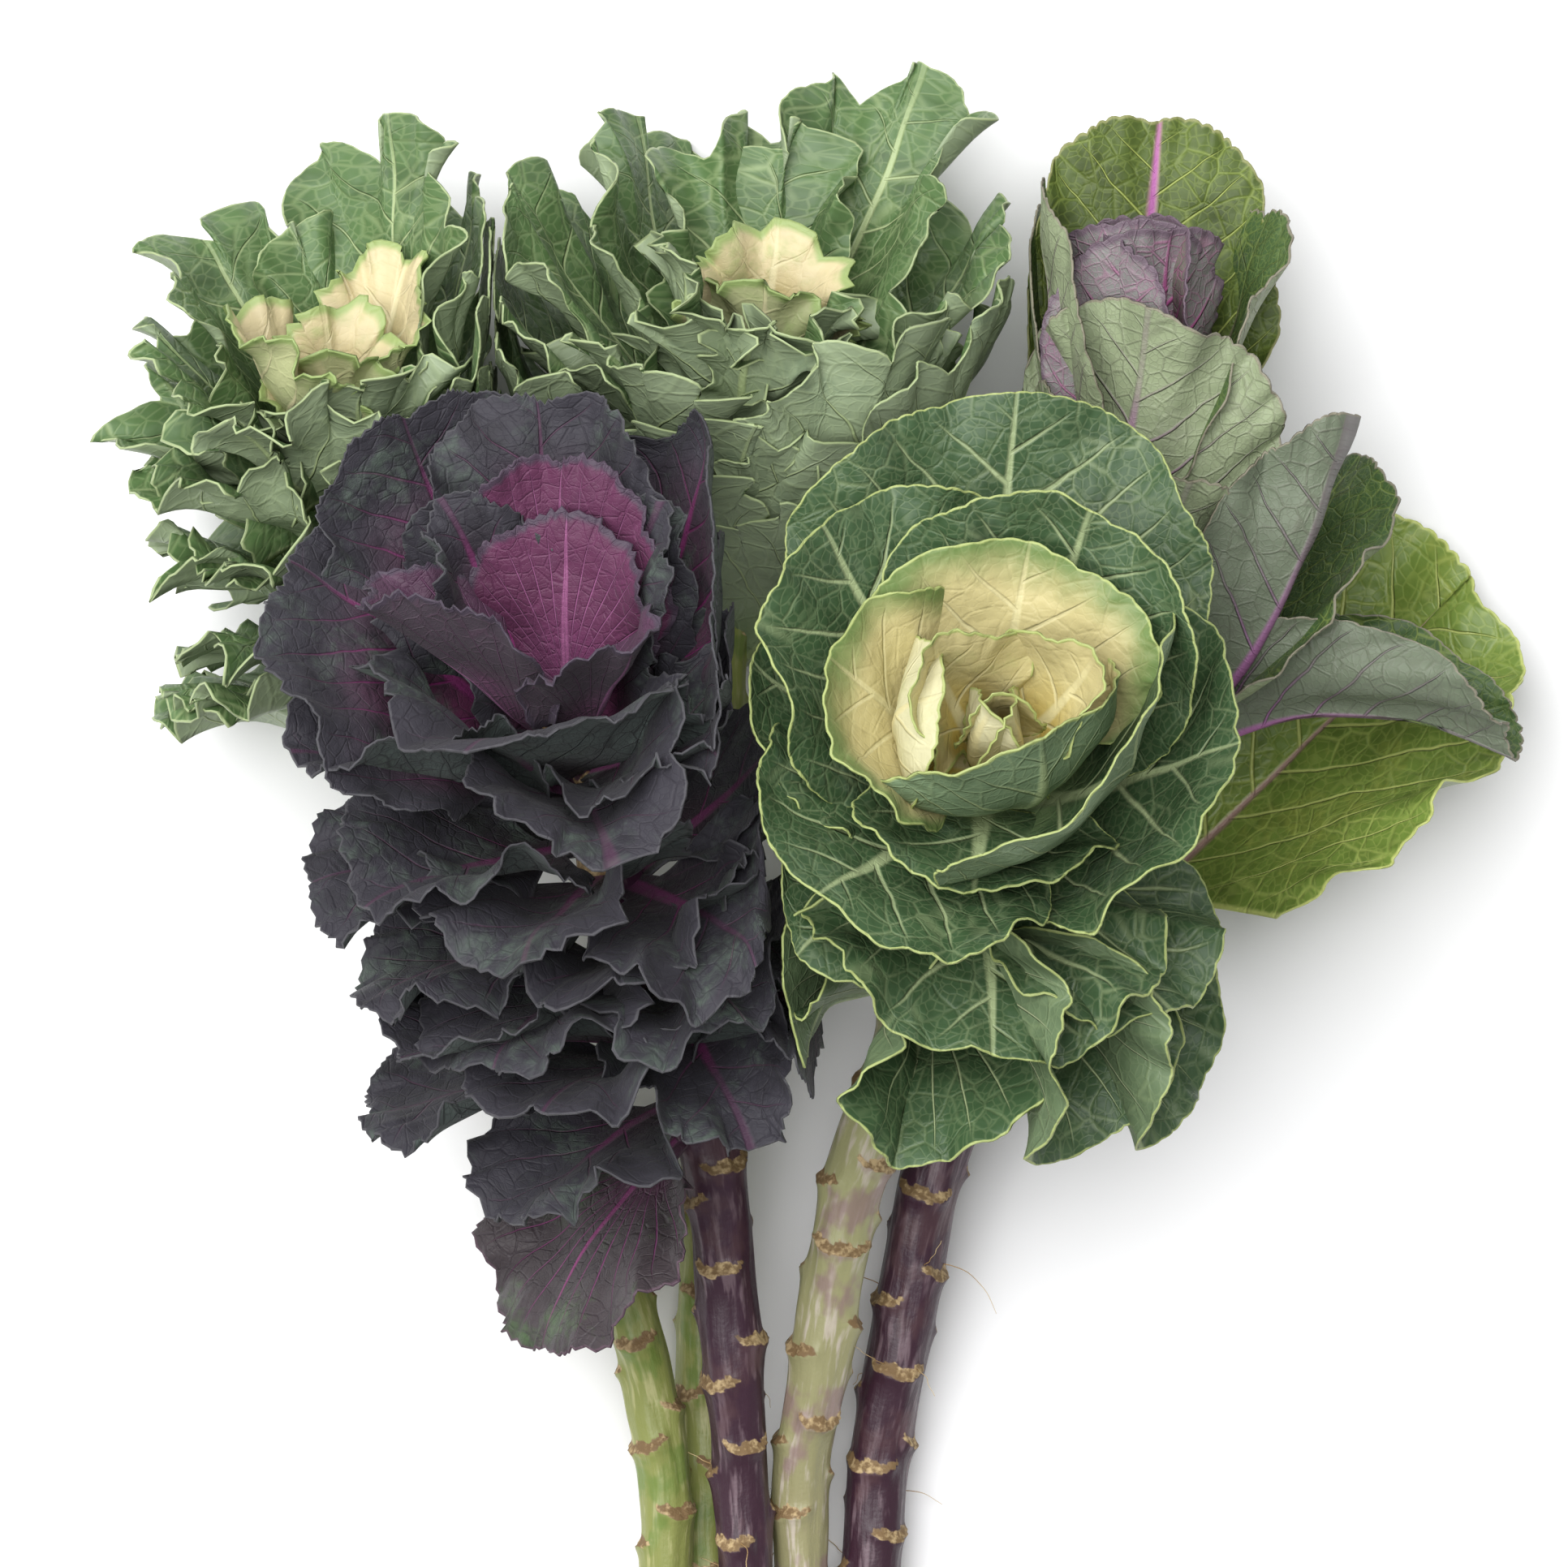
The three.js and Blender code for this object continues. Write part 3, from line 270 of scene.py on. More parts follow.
# Planes between neighbouring heads: a point of the plane, and its normal, which points into the first head
PRESSED = [
    ("purple", "cream", [3, -20, 80], [-0.97, -0.14, -0.18]),
    ("purple", "frilledLeft", [-92, 46, 72], [0.55, -0.45, 0.7]),
    ("purple", "frilledMiddle", [-36, 72, 76], [-0.2, -0.75, 0.62]),
    ("cream", "frilledMiddle", [20, 68, 76], [0.45, -0.6, 0.66]),
    ("cream", "tall", [82, 34, 74], [-0.5, -0.25, 0.83]),
    ("tall", "frilledMiddle", [58, 90, 55], [1, -0.05, 0]),
    ("frilledLeft", "frilledMiddle", [-72, 80, 55], [-1, 0, 0]),
]

FIRST_LEAF = 20              # number of the first outer leaf in the seeded draws, past those of the heart
GOLDEN_ANGLE = math.pi * (3 - math.sqrt(5))
TINY = 1e-6                  # keeps powers and comparisons clear of zero
LEAST_BEND = 1e-5            # cupping in radians per mm that stands for none
LEAST_FACING = 1e-9          # keeps the facing of a face of no size from being undefined

# Outline of a leaf. An onset is the power of the way from the stalk to the rim with which a form grows.
RIM_LENGTH = 2.2             # length of a rim, in lengths of its leaf
LOBE_SHARPNESS = 1.5
TOOTH_SHARPNESS = 0.9
TOOTH_INSIDE = 0.6           # how much of a tooth lies inside the outline
TOOTH_HEIGHT = 1.6           # height in mm of the teeth of a kale whose tooth is 1
TOOTH_ONSET = 10

# Waves of a blade: their height against the wave in the leaf's row, their rate against its number of waves,
# and their onset
SWELL, SWELL_RATE, SWELL_ONSET = 0.6, 0.45, 1.5
RIPPLE_ONSET, FRILLED_RIPPLE_ONSET = 2.9, 0.6
FRILL, FRILL_RATE, FRILL_ONSET = 0.25, 2.6, 6
CRIMP_RATE, CRIMP_ONSET = 5.3, 9
SLIDE, SLIDE_ONSET = 0.5, 4
FLARE_ONSET = 6
PUCKER_SPACING = 46          # longest distance in mm from one pucker to the next
STIFF_HEIGHT, STIFF_REACH = 0.45, 0.25      # height of the waves at the midrib, and where they are full

# Bend and thickness of a blade
MIDRIB_STATIONS = 48
MIDRIB_REACH = 1.25          # how far the stations run, past the tip, for the lobes and teeth there
FOLD_GROWTH = 2.5            # the fold is full after one part in 2.5 of the leaf
RIB_WIDTH, RIB_WIDENING = 0.9, 2.6          # width of the midrib in mm at the rim, and what the stalk adds
RIB_HEIGHT, RIB_RISE = 0.15, 2.1            # its height at the rim, and what the stalk adds
RIB_WIDENING_POWER, RIB_RISE_POWER = 1.2, 1.5
RIB_INSIDE = 0.15            # share of its height that shows on the inner face

# Mesh of a blade
ROW_SPACING = 3.8
FEWEST_ROWS, MOST_ROWS = 8, 22
ROW_CROWDING = 1.25          # above 1, rows are closer together near the rim
STALK_ROWS = 3
RIM_STRIP = 0.5              # width in mm of the last row, which keeps the rim crisp
SIDE_STRIP = 0.012           # share of half the rim that its first and its last column take
NARROWEST_COLUMN = 0.004
RIM_SAMPLES = 4001


def draw(seed, index):
    """Seeded draw between 0 and 1."""
    wave = math.sin(seed * 12.9898 + index * 78.233) * 43758.5453
    return wave - math.floor(wave)


def unit(vectors):
    """Vectors of length 1 that point the same way."""
    vectors = np.asarray(vectors, float)
    return vectors / np.linalg.norm(vectors, axis=-1, keepdims=True)


def clip01(values):
    """Values held between 0 and 1."""
    return np.clip(values, 0.0, 1.0)


def uneven(turns, share):
    """Factor that swings between 1 and 1 less twice a share."""
    return 1 - share + share * np.sin(turns)


def wander(seed, x, y, longest):
    """Smooth uneven field over a leaf's plan, between about -1 and 1: waves that run in drawn directions."""
    field = np.zeros_like(x)
    count = 6
    for i in range(count):
        turn = 2 * math.pi * draw(seed, 40 + i)
        wavelength = longest * (1 - 0.11 * i)
        along = (x * math.cos(turn) + y * math.sin(turn)) / wavelength
        field += np.sin(2 * math.pi * (along + draw(seed, 50 + i)))
    return field / count * 1.6


class Core:
    """Smooth centre line of a stem, from the cut end to the top, with its radius."""

    def __init__(self, rows):
        table = np.array(rows, float)
        points = table[:, :3]
        before = 2 * points[0] - points[1]
        after = 2 * points[-1] - points[-2]
        padded = np.vstack([before, points, after])
        steps_between = 16
        shares = np.arange(steps_between)[:, None] / steps_between
        line = []
        radii = []
        for i in range(len(points) - 1):
            a, b, c, d = padded[i:i + 4]
            line.append(0.5 * (
                2 * b + (c - a) * shares
                + (2 * a - 5 * b + 4 * c - d) * shares ** 2
                + (3 * b - a - 3 * c + d) * shares ** 3
            ))
            radii.append(table[i, 3] + (table[i + 1, 3] - table[i, 3]) * shares[:, 0])
        self.line = np.vstack([*line, points[-1:]])
        self.radii = np.append(np.concatenate(radii), table[-1, 3])
        steps = np.linalg.norm(np.diff(self.line, axis=0), axis=1)
        self.lengths = np.append(0.0, np.cumsum(steps))
        self.length = self.lengths[-1]

    def point(self, distance):
        """Points at distances from the cut end, straight on past both ends."""
        distance = np.asarray(distance, float)
        inside = np.clip(distance, 0, self.length)
        found = np.stack([np.interp(inside, self.lengths, self.line[:, k]) for k in range(3)], -1)
        first = unit(self.line[1] - self.line[0])
        last = unit(self.line[-1] - self.line[-2])
        found += np.minimum(distance, 0)[..., None] * first
        found += np.maximum(distance - self.length, 0)[..., None] * last
        return found

    def frame(self, distance):
        """Centre, direction of growth and the two directions across the stem."""
        reach = 3
        centre = self.point(distance)
        along = unit(self.point(np.asarray(distance) + reach) - self.point(np.asarray(distance) - reach))
        right = unit(np.array([1.0, 0, 0]) - along[..., :1] * along)
        return centre, along, right, np.cross(along, right)

    def radius(self, distance):
        """Radius at distances from the cut end."""
        return np.interp(distance, self.lengths, self.radii)


def ease(distance, softness):
    """A distance below the softness is eased towards zero and never passes it."""
    near = softness * np.exp((np.minimum(distance, softness) - softness) / softness)
    return np.where(distance < softness, near, distance)


def press(points, kale_name):
    """Leaves give way to the neighbouring heads and to the surface that they lie on."""
    for first, second, centre, normal in PRESSED:
        if kale_name not in (first, second):
            continue
        facing = unit(normal) * (1 if kale_name == first else -1)
        distance = (points - np.array(centre, float)) @ facing
        points = points + (ease(distance, PRESS_SOFTNESS) - distance)[..., None] * facing
    points[..., 2] = np.maximum(ease(points[..., 2], FLOOR_SOFTNESS) - FLOOR_BITE, FLOOR_HEIGHT)
    return points


def midrib_of(leaf, along, outward):
    """Stations of a midrib: it leaves the stem tilted outwards, and bends, sways and rolls towards the tip.
    Gives the distance of each, its point, the direction across the leaf and the one out of its inner face."""
    total = leaf["stalk"] + leaf["length"]
    y = np.linspace(0, total * MIDRIB_REACH, MIDRIB_STATIONS)
    f = y / total
    bent = np.where(f > 1, f, 0.5 * f * f * (3 - 2 * clip01(f)) + 0.5 * f)
    tilt = np.radians(leaf["tilt"] + (leaf["tip_tilt"] - leaf["tilt"]) * bent)[:, None]
    yaw = (np.radians(leaf["sway"]) * f)[:, None]
    roll = (np.radians(leaf["roll"]) * f)[:, None]
    sideways = np.cross(along, outward)
    heading = np.cos(yaw) * (np.cos(tilt) * along + np.sin(tilt) * outward) + np.sin(yaw) * sideways
    inward = np.sin(tilt) * along - np.cos(tilt) * outward
    across = np.cross(heading, inward)
    moves = (heading[1:] + heading[:-1]) / 2 * (y[1] - y[0])
    points = np.vstack([np.zeros(3), np.cumsum(moves, axis=0)])
    turned_across = np.cos(roll) * across + np.sin(roll) * inward
    turned_inward = np.cos(roll) * inward - np.sin(roll) * across
    return y, points, turned_across, turned_inward


def tooth_turns(leaf, kale, seed, v):
    """Half turns of the teeth along a rim: even where a notch is, odd where a point is."""
    teeth = RIM_LENGTH * leaf["length"] / kale["tooth_pitch"]
    return teeth * v + 0.35 * np.sin(teeth * 0.61 * v + 6 * draw(seed, 30))


def leaf_plan(leaf, kale, seed, u, v):
    """Flat plan of a leaf. u runs from the foot of the stalk to the rim, v from one side to the other.
    Gives the plan, the way from the end of the stalk to the rim as a share, and the distance to the rim."""
    angle = v * FAN
    on_stalk = clip01(u / STALK_SHARE)
    spread = clip01((u - STALK_SHARE) / (1 - STALK_SHARE))
    scallop = np.abs(np.sin(kale["lobes"] * math.pi / 2 * v + math.pi * draw(seed, 1)))
    lobe = 1 + kale["lobe"] * (1 - 2 * (1 - scallop) ** LOBE_SHARPNESS) * spread
    turns = tooth_turns(leaf, kale, seed, v)
    tooth = np.abs(np.sin(turns * math.pi / 2)) ** TOOTH_SHARPNESS - TOOTH_INSIDE
    tooth *= uneven(turns * 0.27 + 6 * draw(seed, 31), 0.35)
    reach = np.cos(angle) ** FAN_ROUNDNESS * lobe
    size = FAN_START + (reach - FAN_START) * spread
    size = size + tooth * kale["tooth"] * TOOTH_HEIGHT / leaf["length"] * spread ** TOOTH_ONSET
    widening = leaf["width"] / FAN_REACH
    neck_x = widening * FAN_START * np.sin(angle)
    neck_y = leaf["stalk"] + leaf["length"] * (FAN_START * np.cos(angle)) ** TIP_BLUNTNESS
    x = np.where(
        u < STALK_SHARE,
        (1 - on_stalk) * v * STALK_HALF_WIDTH + on_stalk * neck_x,
        widening * size * np.sin(angle),
    )
    y = np.where(
        u < STALK_SHARE,
        on_stalk * neck_y,
        leaf["stalk"] + leaf["length"] * np.maximum(size * np.cos(angle), TINY) ** TIP_BLUNTNESS,
    )
    to_rim = leaf["length"] * reach * (1 - spread)
    to_side = (1 - np.abs(v)) * FAN * np.hypot(x, y - leaf["stalk"])
    return x, y, spread, np.minimum(to_rim, to_side)


def blade_waves(leaf, kale, seed, x, y, v, spread):
    """How far a blade stands off its smooth surface, and how far it slides along it. Swells, ripples, frills
    and crimps follow the rim and fade towards the stalk. Puckers lie all over."""
    phases = [2 * math.pi * draw(seed, i) for i in range(2, 8)]
    turns = leaf["waves"] * math.pi * v
    swell = SWELL * np.sin(SWELL_RATE * turns + phases[4])
    drift = 0.7 * np.sin(2.3 * v + phases[1]) + 1.1 * spread * np.sin(1.7 * v + phases[5])
    ripple = np.sin(turns + phases[0] + drift) * uneven(3.1 * v + phases[2], 0.3)
    ripple_onset = RIPPLE_ONSET + FRILLED_RIPPLE_ONSET * kale["frill"]
    frill = FRILL * np.sin(FRILL_RATE * turns + phases[3] + np.sin(5 * v + phases[1]))
    height = swell * spread ** SWELL_ONSET + ripple * spread ** ripple_onset + frill * spread ** FRILL_ONSET
    height *= leaf["wave"] * (STIFF_HEIGHT + (1 - STIFF_HEIGHT) * clip01(np.abs(v) / STIFF_REACH))
    crimp = np.sin(CRIMP_RATE * turns + phases[2] + 1.2 * np.sin(3.7 * v + phases[5]))
    crimp *= uneven(6.1 * v + phases[3], 0.4)
    height += kale["crimp"] * crimp * spread ** CRIMP_ONSET
    height -= (kale["flare"] + leaf.get("flare", 0)) * spread ** FLARE_ONSET
    height += kale["pucker"] * wander(seed, x, y, PUCKER_SPACING) * clip01(2 * spread)
    slide = np.sin(2 * (turns + phases[0]) + phases[5]) * spread ** SLIDE_ONSET
    return height, SLIDE * leaf["wave"] * kale["frill"] * slide


def leaf_surface(core, kale_name, leaf, seed, u, v):
    """Middle surface of a blade and its smooth normal, followed by what leaf_plan gives."""
    kale = KALES[kale_name]
    centre, along, right, under = core.frame(core.length - leaf["down"])
    direction = math.radians(leaf["direction"])
    outward = math.cos(direction) * right + math.sin(direction) * under
    x, y, spread, rim = leaf_plan(leaf, kale, seed, u, v)
    stations, *tracks = midrib_of(leaf, along, outward)
    point, across, inward = (
        np.stack([np.interp(y, stations, track[:, k]) for k in range(3)], -1) for track in tracks
    )
    cupping = math.radians(leaf["cup"]) / (leaf["width"] / 2) or LEAST_BEND
    folded = math.radians(leaf["fold"]) * clip01(FOLD_GROWTH * y / (leaf["stalk"] + leaf["length"]))
    side = np.sign(x)
    lean = folded + cupping * np.abs(x)
    out = (np.sin(lean) - np.sin(folded)) / cupping * side
    rise = (np.cos(folded) - np.cos(lean)) / cupping
    normal = inward * np.cos(lean)[..., None] - across * (side * np.sin(lean))[..., None]
    tangent = across * np.cos(lean)[..., None] + inward * (side * np.sin(lean))[..., None]
    height, slide = blade_waves(leaf, kale, seed, x, y, v, spread)
    points = centre + outward * ROOT_RADIUS + point
    points = points + across * out[..., None] + inward * rise[..., None]
    points = points + normal * height[..., None] + tangent * slide[..., None]
    return press(points, kale_name), normal, x, y, spread, rim


def blade_rows(leaf, kale, seed, column_step):
    """Shares u of the rows and v of the columns of a leaf's mesh. Rows are close together just inside the
    rim, and columns meet the points and notches of the teeth."""
    rim_length = RIM_LENGTH * math.hypot(leaf["length"], leaf["width"] / 2)
    rows = int(np.clip(leaf["length"] / ROW_SPACING, FEWEST_ROWS, MOST_ROWS))
    even = np.linspace(0, 1, rows + 1)
    spread = 1 - (1 - even) ** ROW_CROWDING
    spread = np.sort(np.append(spread, 1 - RIM_STRIP / leaf["length"]))
    stalk = np.linspace(0, STALK_SHARE, STALK_ROWS + 1)[:-1]
    u = np.concatenate([stalk, STALK_SHARE + (1 - STALK_SHARE) * spread])
    even_v = np.linspace(-1, 1, RIM_SAMPLES)
    turns = tooth_turns(leaf, kale, seed, even_v)
    finer = max(1, round(rim_length / (turns[-1] - turns[0]) / column_step))
    on_turns = np.arange(math.ceil(turns[0] * finer), math.floor(turns[-1] * finer) + 1) / finer
    v = np.interp(on_turns, turns, even_v)
    nearly = 1 - SIDE_STRIP
    v = v[np.abs(v) < nearly - NARROWEST_COLUMN]
    return u, np.concatenate([[-1, -nearly], v, [nearly, 1]])


class Sheets:
    """Gathers the vertices, faces and surface values of many like bodies, and makes one mesh of them."""

    def __init__(self):
        self.points = []
        self.quads = []
        self.values = {}
        self.count = 0

    def add(self, points, quads, **values):
        """Adds a body, with the values at its vertices that its material reads."""
        self.points.append(points)
        self.quads.append(quads + self.count)
        self.count += len(points)
        for name, value in values.items():
            self.values.setdefault(name, []).append(value)

    def build(self, name, material, slot, *nodes):
        """Makes the piece, which rides on the bunch and takes the place of some of its nodes."""
        points = (np.vstack(self.points) - ORIGIN) * MM
        quads = np.vstack(self.quads).astype(np.int32)
        mesh = bpy.data.meshes.new(name)
        mesh.vertices.add(len(points))
        mesh.vertices.foreach_set("co", points.astype(np.float32).ravel())
        mesh.loops.add(quads.size)
        mesh.loops.foreach_set("vertex_index", quads.ravel())
        mesh.polygons.add(len(quads))
        mesh.polygons.foreach_set("loop_start", np.arange(0, quads.size, 4, dtype=np.int32))
        mesh.polygons.foreach_set("use_smooth", np.ones(len(quads), bool))
        mesh.update(calc_edges=True)
        for value_name, parts in self.values.items():
            value = np.concatenate(parts).astype(np.float32)
            kind, field = ("FLOAT_VECTOR", "vector") if value.ndim == 2 else ("FLOAT", "value")
            mesh.attributes.new(value_name, kind, "POINT").data.foreach_set(field, value.ravel())
        mesh.materials.append(material)
        piece = bpy.data.objects.new(name, mesh)
        bpy.context.scene.collection.objects.link(piece)
        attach(piece, "root")
        if nodes:
            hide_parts(*nodes)


def grid_quads(rows, columns, flip):
    """Faces between rows and columns of points."""
    index = np.arange(rows * columns).reshape(rows, columns)
    corners = [index[:-1, :-1], index[1:, :-1], index[1:, 1:], index[:-1, 1:]]
    quads = np.stack([corner.ravel() for corner in corners], -1)
    return quads[:, ::-1] if flip else quads


def add_leaf(sheets, core, kale_name, row, number, column_step, thickness):
    """One leaf as a closed thin body: an inner and an outer face, joined round the rim."""
    leaf = dict(zip(LEAF_COLUMNS, row))
    seed = KALES[kale_name]["seed"] + number
    u_line, v_line = blade_rows(leaf, KALES[kale_name], seed, column_step)
    u, v = np.meshgrid(u_line, v_line, indexing="ij")
    middle, normal, x, y, spread, rim = leaf_surface(core, kale_name, leaf, seed, u, v)
    facing = np.cross(np.gradient(middle, axis=0), np.gradient(middle, axis=1))
    flip = (facing * normal).sum() < 0
    facing = unit(facing + LEAST_FACING) * (-1 if flip else 1)
    grounded = middle[..., 2] <= FLOOR_HEIGHT + TINY
    facing[grounded] = np.sign(facing[grounded][:, 2:]) * [0, 0, 1]
    fading = 1 - spread
    rib_width = RIB_WIDTH + RIB_WIDENING * fading ** RIB_WIDENING_POWER
    rib = (RIB_HEIGHT + RIB_RISE * fading ** RIB_RISE_POWER) * np.exp(-(x / rib_width) ** 2)
    rib = rib * np.where(u < STALK_SHARE, np.sqrt(np.maximum(1 - v ** 2, 0)), 1)
    inner = middle + facing * (thickness / 2 + RIB_INSIDE * rib)[..., None]
    outer = middle - facing * (thickness / 2 + rib)[..., None]
    outer[..., 2] = np.maximum(outer[..., 2], 0)
    inner[..., 2] = np.maximum(inner[..., 2], 0)
    rows, columns = u.shape
    count = rows * columns
    index = np.arange(count).reshape(rows, columns)
    ring = np.concatenate([index[:-1, 0], index[-1, :-1], index[:0:-1, -1], index[0, :0:-1]])
    after = np.roll(ring, -1)
    strip = np.stack([after, ring, ring + count, after + count], -1)
    quads = np.vstack([
        grid_quads(rows, columns, flip),
        grid_quads(rows, columns, not flip) + count,
        strip[:, ::-1] if flip else strip,
    ])
    numbers = np.full(count, float(number))
    plan = np.stack([x.ravel(), y.ravel(), numbers], -1)
    spot = np.stack([spread.ravel(), v.ravel(), rim.ravel()], -1)
    sheets.add(
        np.vstack([inner.reshape(-1, 3), outer.reshape(-1, 3)]),
        quads,
        plan=np.vstack([plan, plan]),
        spot=np.vstack([spot, spot]),
        side=np.repeat([0.0, 1.0], count),
    )


# Skin of a stem. Heights and lengths are in mm, arcs in radians.
STEM_SIDES = 64
SKIN_SUNK = 0.4              # how much thinner the skin is than the core, between the ledges
SKIN_RADIUS = 7              # radius on which the pattern of the skin is laid out
TOP_LENGTH = 1.5             # length of the blunt top, inside the heart
CUT_RINGS = (0.04, 0.5, 0.93)        # sizes of the rings in the plane of the cut, against the stem
TOP_RINGS = (0.8, 0.04)
SCAR_ARC, SCAR_ARC_RANGE = 0.95, 0.4        # half the arc of a crescent, and what its draw adds
SCAR_SAG = 3.4               # how much lower the middle of a crescent is than its ends
LEDGE_FOOT, LEDGE_LIP = 2.8, 1.1     # how far a ledge takes to rise from below, and to fall away above
TISSUE_ENDS, TISSUE_MIDDLE = 0.5, 2.6        # height of the bare tissue, and what the middle adds
TISSUE_SOFTNESS = 0.7

# Hair roots
HAIRY_LENGTH = {"purple": 144, "cream": 96, "tall": 176, "frilledLeft": 96, "frilledMiddle": 92}
HAIR_SIDES, HAIR_STEPS = 4, 14
HAIR_CURL, HAIR_BEND = 0.55, 0.55
HAIR_CLEARANCE = 0.4         # lowest height of a hair's centre line
HAIR_TIP = 0.45              # width of the tip against the foot

# First numbers of the seeded draws of each kind, which come after those of a leaf
SCAR_PLACE_DRAW, SCAR_TURN_DRAW, SCAR_ARC_DRAW = 60, 90, 120
HAIR_SCAR_DRAW, HAIR_TURN_DRAW, HAIR_LENGTH_DRAW = 200, 240, 280
HAIR_RATE_DRAW, HAIR_START_DRAW, HAIR_LEAN_DRAW = 320, 360, 400


def scar_relief(seed, distance, turn, settings):
    """Height of the leaf scars over a stem, and how much of it is bare scar tissue. Each is a crescent ledge
    with its ends higher than its middle, the golden angle further round the stem than the one below it."""
    pitch = settings.scar_spacing / MM
    height = np.zeros_like(distance)
    tissue = np.zeros_like(distance)
    count = int(distance.max() / pitch) + 2
    for number in range(count):
        place = (number + 0.6 + 0.35 * draw(seed, SCAR_PLACE_DRAW + number)) * pitch
        facing = number * GOLDEN_ANGLE + seed + 0.5 * draw(seed, SCAR_TURN_DRAW + number)
        away = (turn - facing + math.pi) % (2 * math.pi) - math.pi
        span = SCAR_ARC + SCAR_ARC_RANGE * draw(seed, SCAR_ARC_DRAW + number)
        ragged = 0.3 * np.sin(7 * away + number) + 0.16 * np.sin(17 * away + 3 * number)
        over = distance - place - SCAR_SAG * (away / span) ** 2 - ragged
        weight = clip01(1 - (np.abs(away) / span) ** 4)
        below = np.exp(np.minimum(over, 0) / LEDGE_FOOT)
        above = np.exp(-np.maximum(over, 0) / LEDGE_LIP)
        height = np.maximum(height, weight * np.where(over < 0, below, above))
        depth = TISSUE_ENDS + TISSUE_MIDDLE * clip01(1 - (away / span) ** 2)
        foot = clip01((over + TISSUE_SOFTNESS) / TISSUE_SOFTNESS)
        top = clip01((depth + ragged - over) / TISSUE_SOFTNESS)
        tissue = np.maximum(tissue, foot * top * clip01(1.6 * weight))
    return height * settings.scar_height / MM, tissue


def add_stem(sheets, core, seed, settings):
    """A whole stem as a closed body, with leaf scars, faint ridges and a flat cut end."""
    distance = np.arange(0, core.length, settings.ring_step / MM)
    rings = np.concatenate([np.zeros(len(CUT_RINGS)), distance, [core.length, core.length + TOP_LENGTH]])
    shrink = np.concatenate([CUT_RINGS, np.ones(len(distance)), TOP_RINGS])
    turn = np.linspace(0, 2 * math.pi, STEM_SIDES, endpoint=False)
    along, around = np.meshgrid(rings, turn, indexing="ij")
    relief, tissue = scar_relief(seed, along, around, settings)
    ridges = 0.14 * np.sin(5 * around + 0.02 * along + seed) + 0.08 * np.sin(11 * around - 0.03 * along)
    lumps = 0.3 * np.sin(along / 8 + 2 * np.sin(around + seed)) + 0.14 * np.sin(along / 4.1 + 3 * around)
    radius = (core.radius(along) - SKIN_SUNK + relief + ridges + lumps) * shrink[:, None]
    centre, _, right, under = core.frame(along)
    points = centre + right * (radius * np.cos(around))[..., None]
    points = points + under * (radius * np.sin(around))[..., None]
    points[..., 2] = np.maximum(points[..., 2], 0)
    index = np.arange(points.shape[0] * STEM_SIDES).reshape(-1, STEM_SIDES)
    beside = np.roll(index, -1, axis=1)
    walls = np.stack([index[:-1], index[1:], beside[1:], beside[:-1]], -1).reshape(-1, 4)[:, ::-1]
    half = np.arange(STEM_SIDES // 2 - 1)
    cap = np.stack([half, half + 1, STEM_SIDES - 2 - half, STEM_SIDES - 1 - half], -1)
    cut = np.repeat(np.arange(len(rings)) < len(CUT_RINGS), STEM_SIDES)
    skin_place = [SKIN_RADIUS * np.cos(around), SKIN_RADIUS * np.sin(around), along + seed]
    sheets.add(
        points.reshape(-1, 3),
        np.vstack([walls, cap, (index[-1, 0] + cap)[:, ::-1]]),
        plan=np.stack(skin_place, -1).reshape(-1, 3),
        scar=tissue.ravel() * (1 - cut),
        cut=cut.astype(float),
        up=along.ravel() / core.length,
    )


def hair_line(core, seed, hair, hairy_length, settings):
    """Centre line of a dry hair root, which leaves a scar of the lower stem and wanders."""
    pitch = settings.scar_spacing / MM
    number = int(draw(seed, HAIR_SCAR_DRAW + hair) * hairy_length / pitch)
    start = (number + 0.8) * pitch
    turn = number * GOLDEN_ANGLE + seed + 1.6 * (draw(seed, HAIR_TURN_DRAW + hair) - 0.5)
    centre, along, right, under = core.frame(start)
    heading = unit(math.cos(turn) * right + math.sin(turn) * under + 0.3 * along)
    side = np.cross(heading, along)
    point = centre + heading * (core.radius(start) - 0.5)
    length = settings.hair_length / MM * (0.35 + 0.65 * draw(seed, HAIR_LENGTH_DRAW + hair))
    rate = 0.5 + draw(seed, HAIR_RATE_DRAW + hair)
    phase = 6 * draw(seed, HAIR_START_DRAW + hair)
    lean = along * 0.4 * (draw(seed, HAIR_LEAN_DRAW + hair) - 0.7)
    line = []
    for step in range(HAIR_STEPS + 1):
        line.append(point)
        curl = HAIR_CURL * math.sin(1.1 * step * rate + phase)
        heading = unit(heading + (side * curl + lean) * HAIR_BEND)
        point = point + heading * length / HAIR_STEPS
    line = np.array(line)
    line[:, 2] = np.maximum(line[:, 2], HAIR_CLEARANCE)
    return line


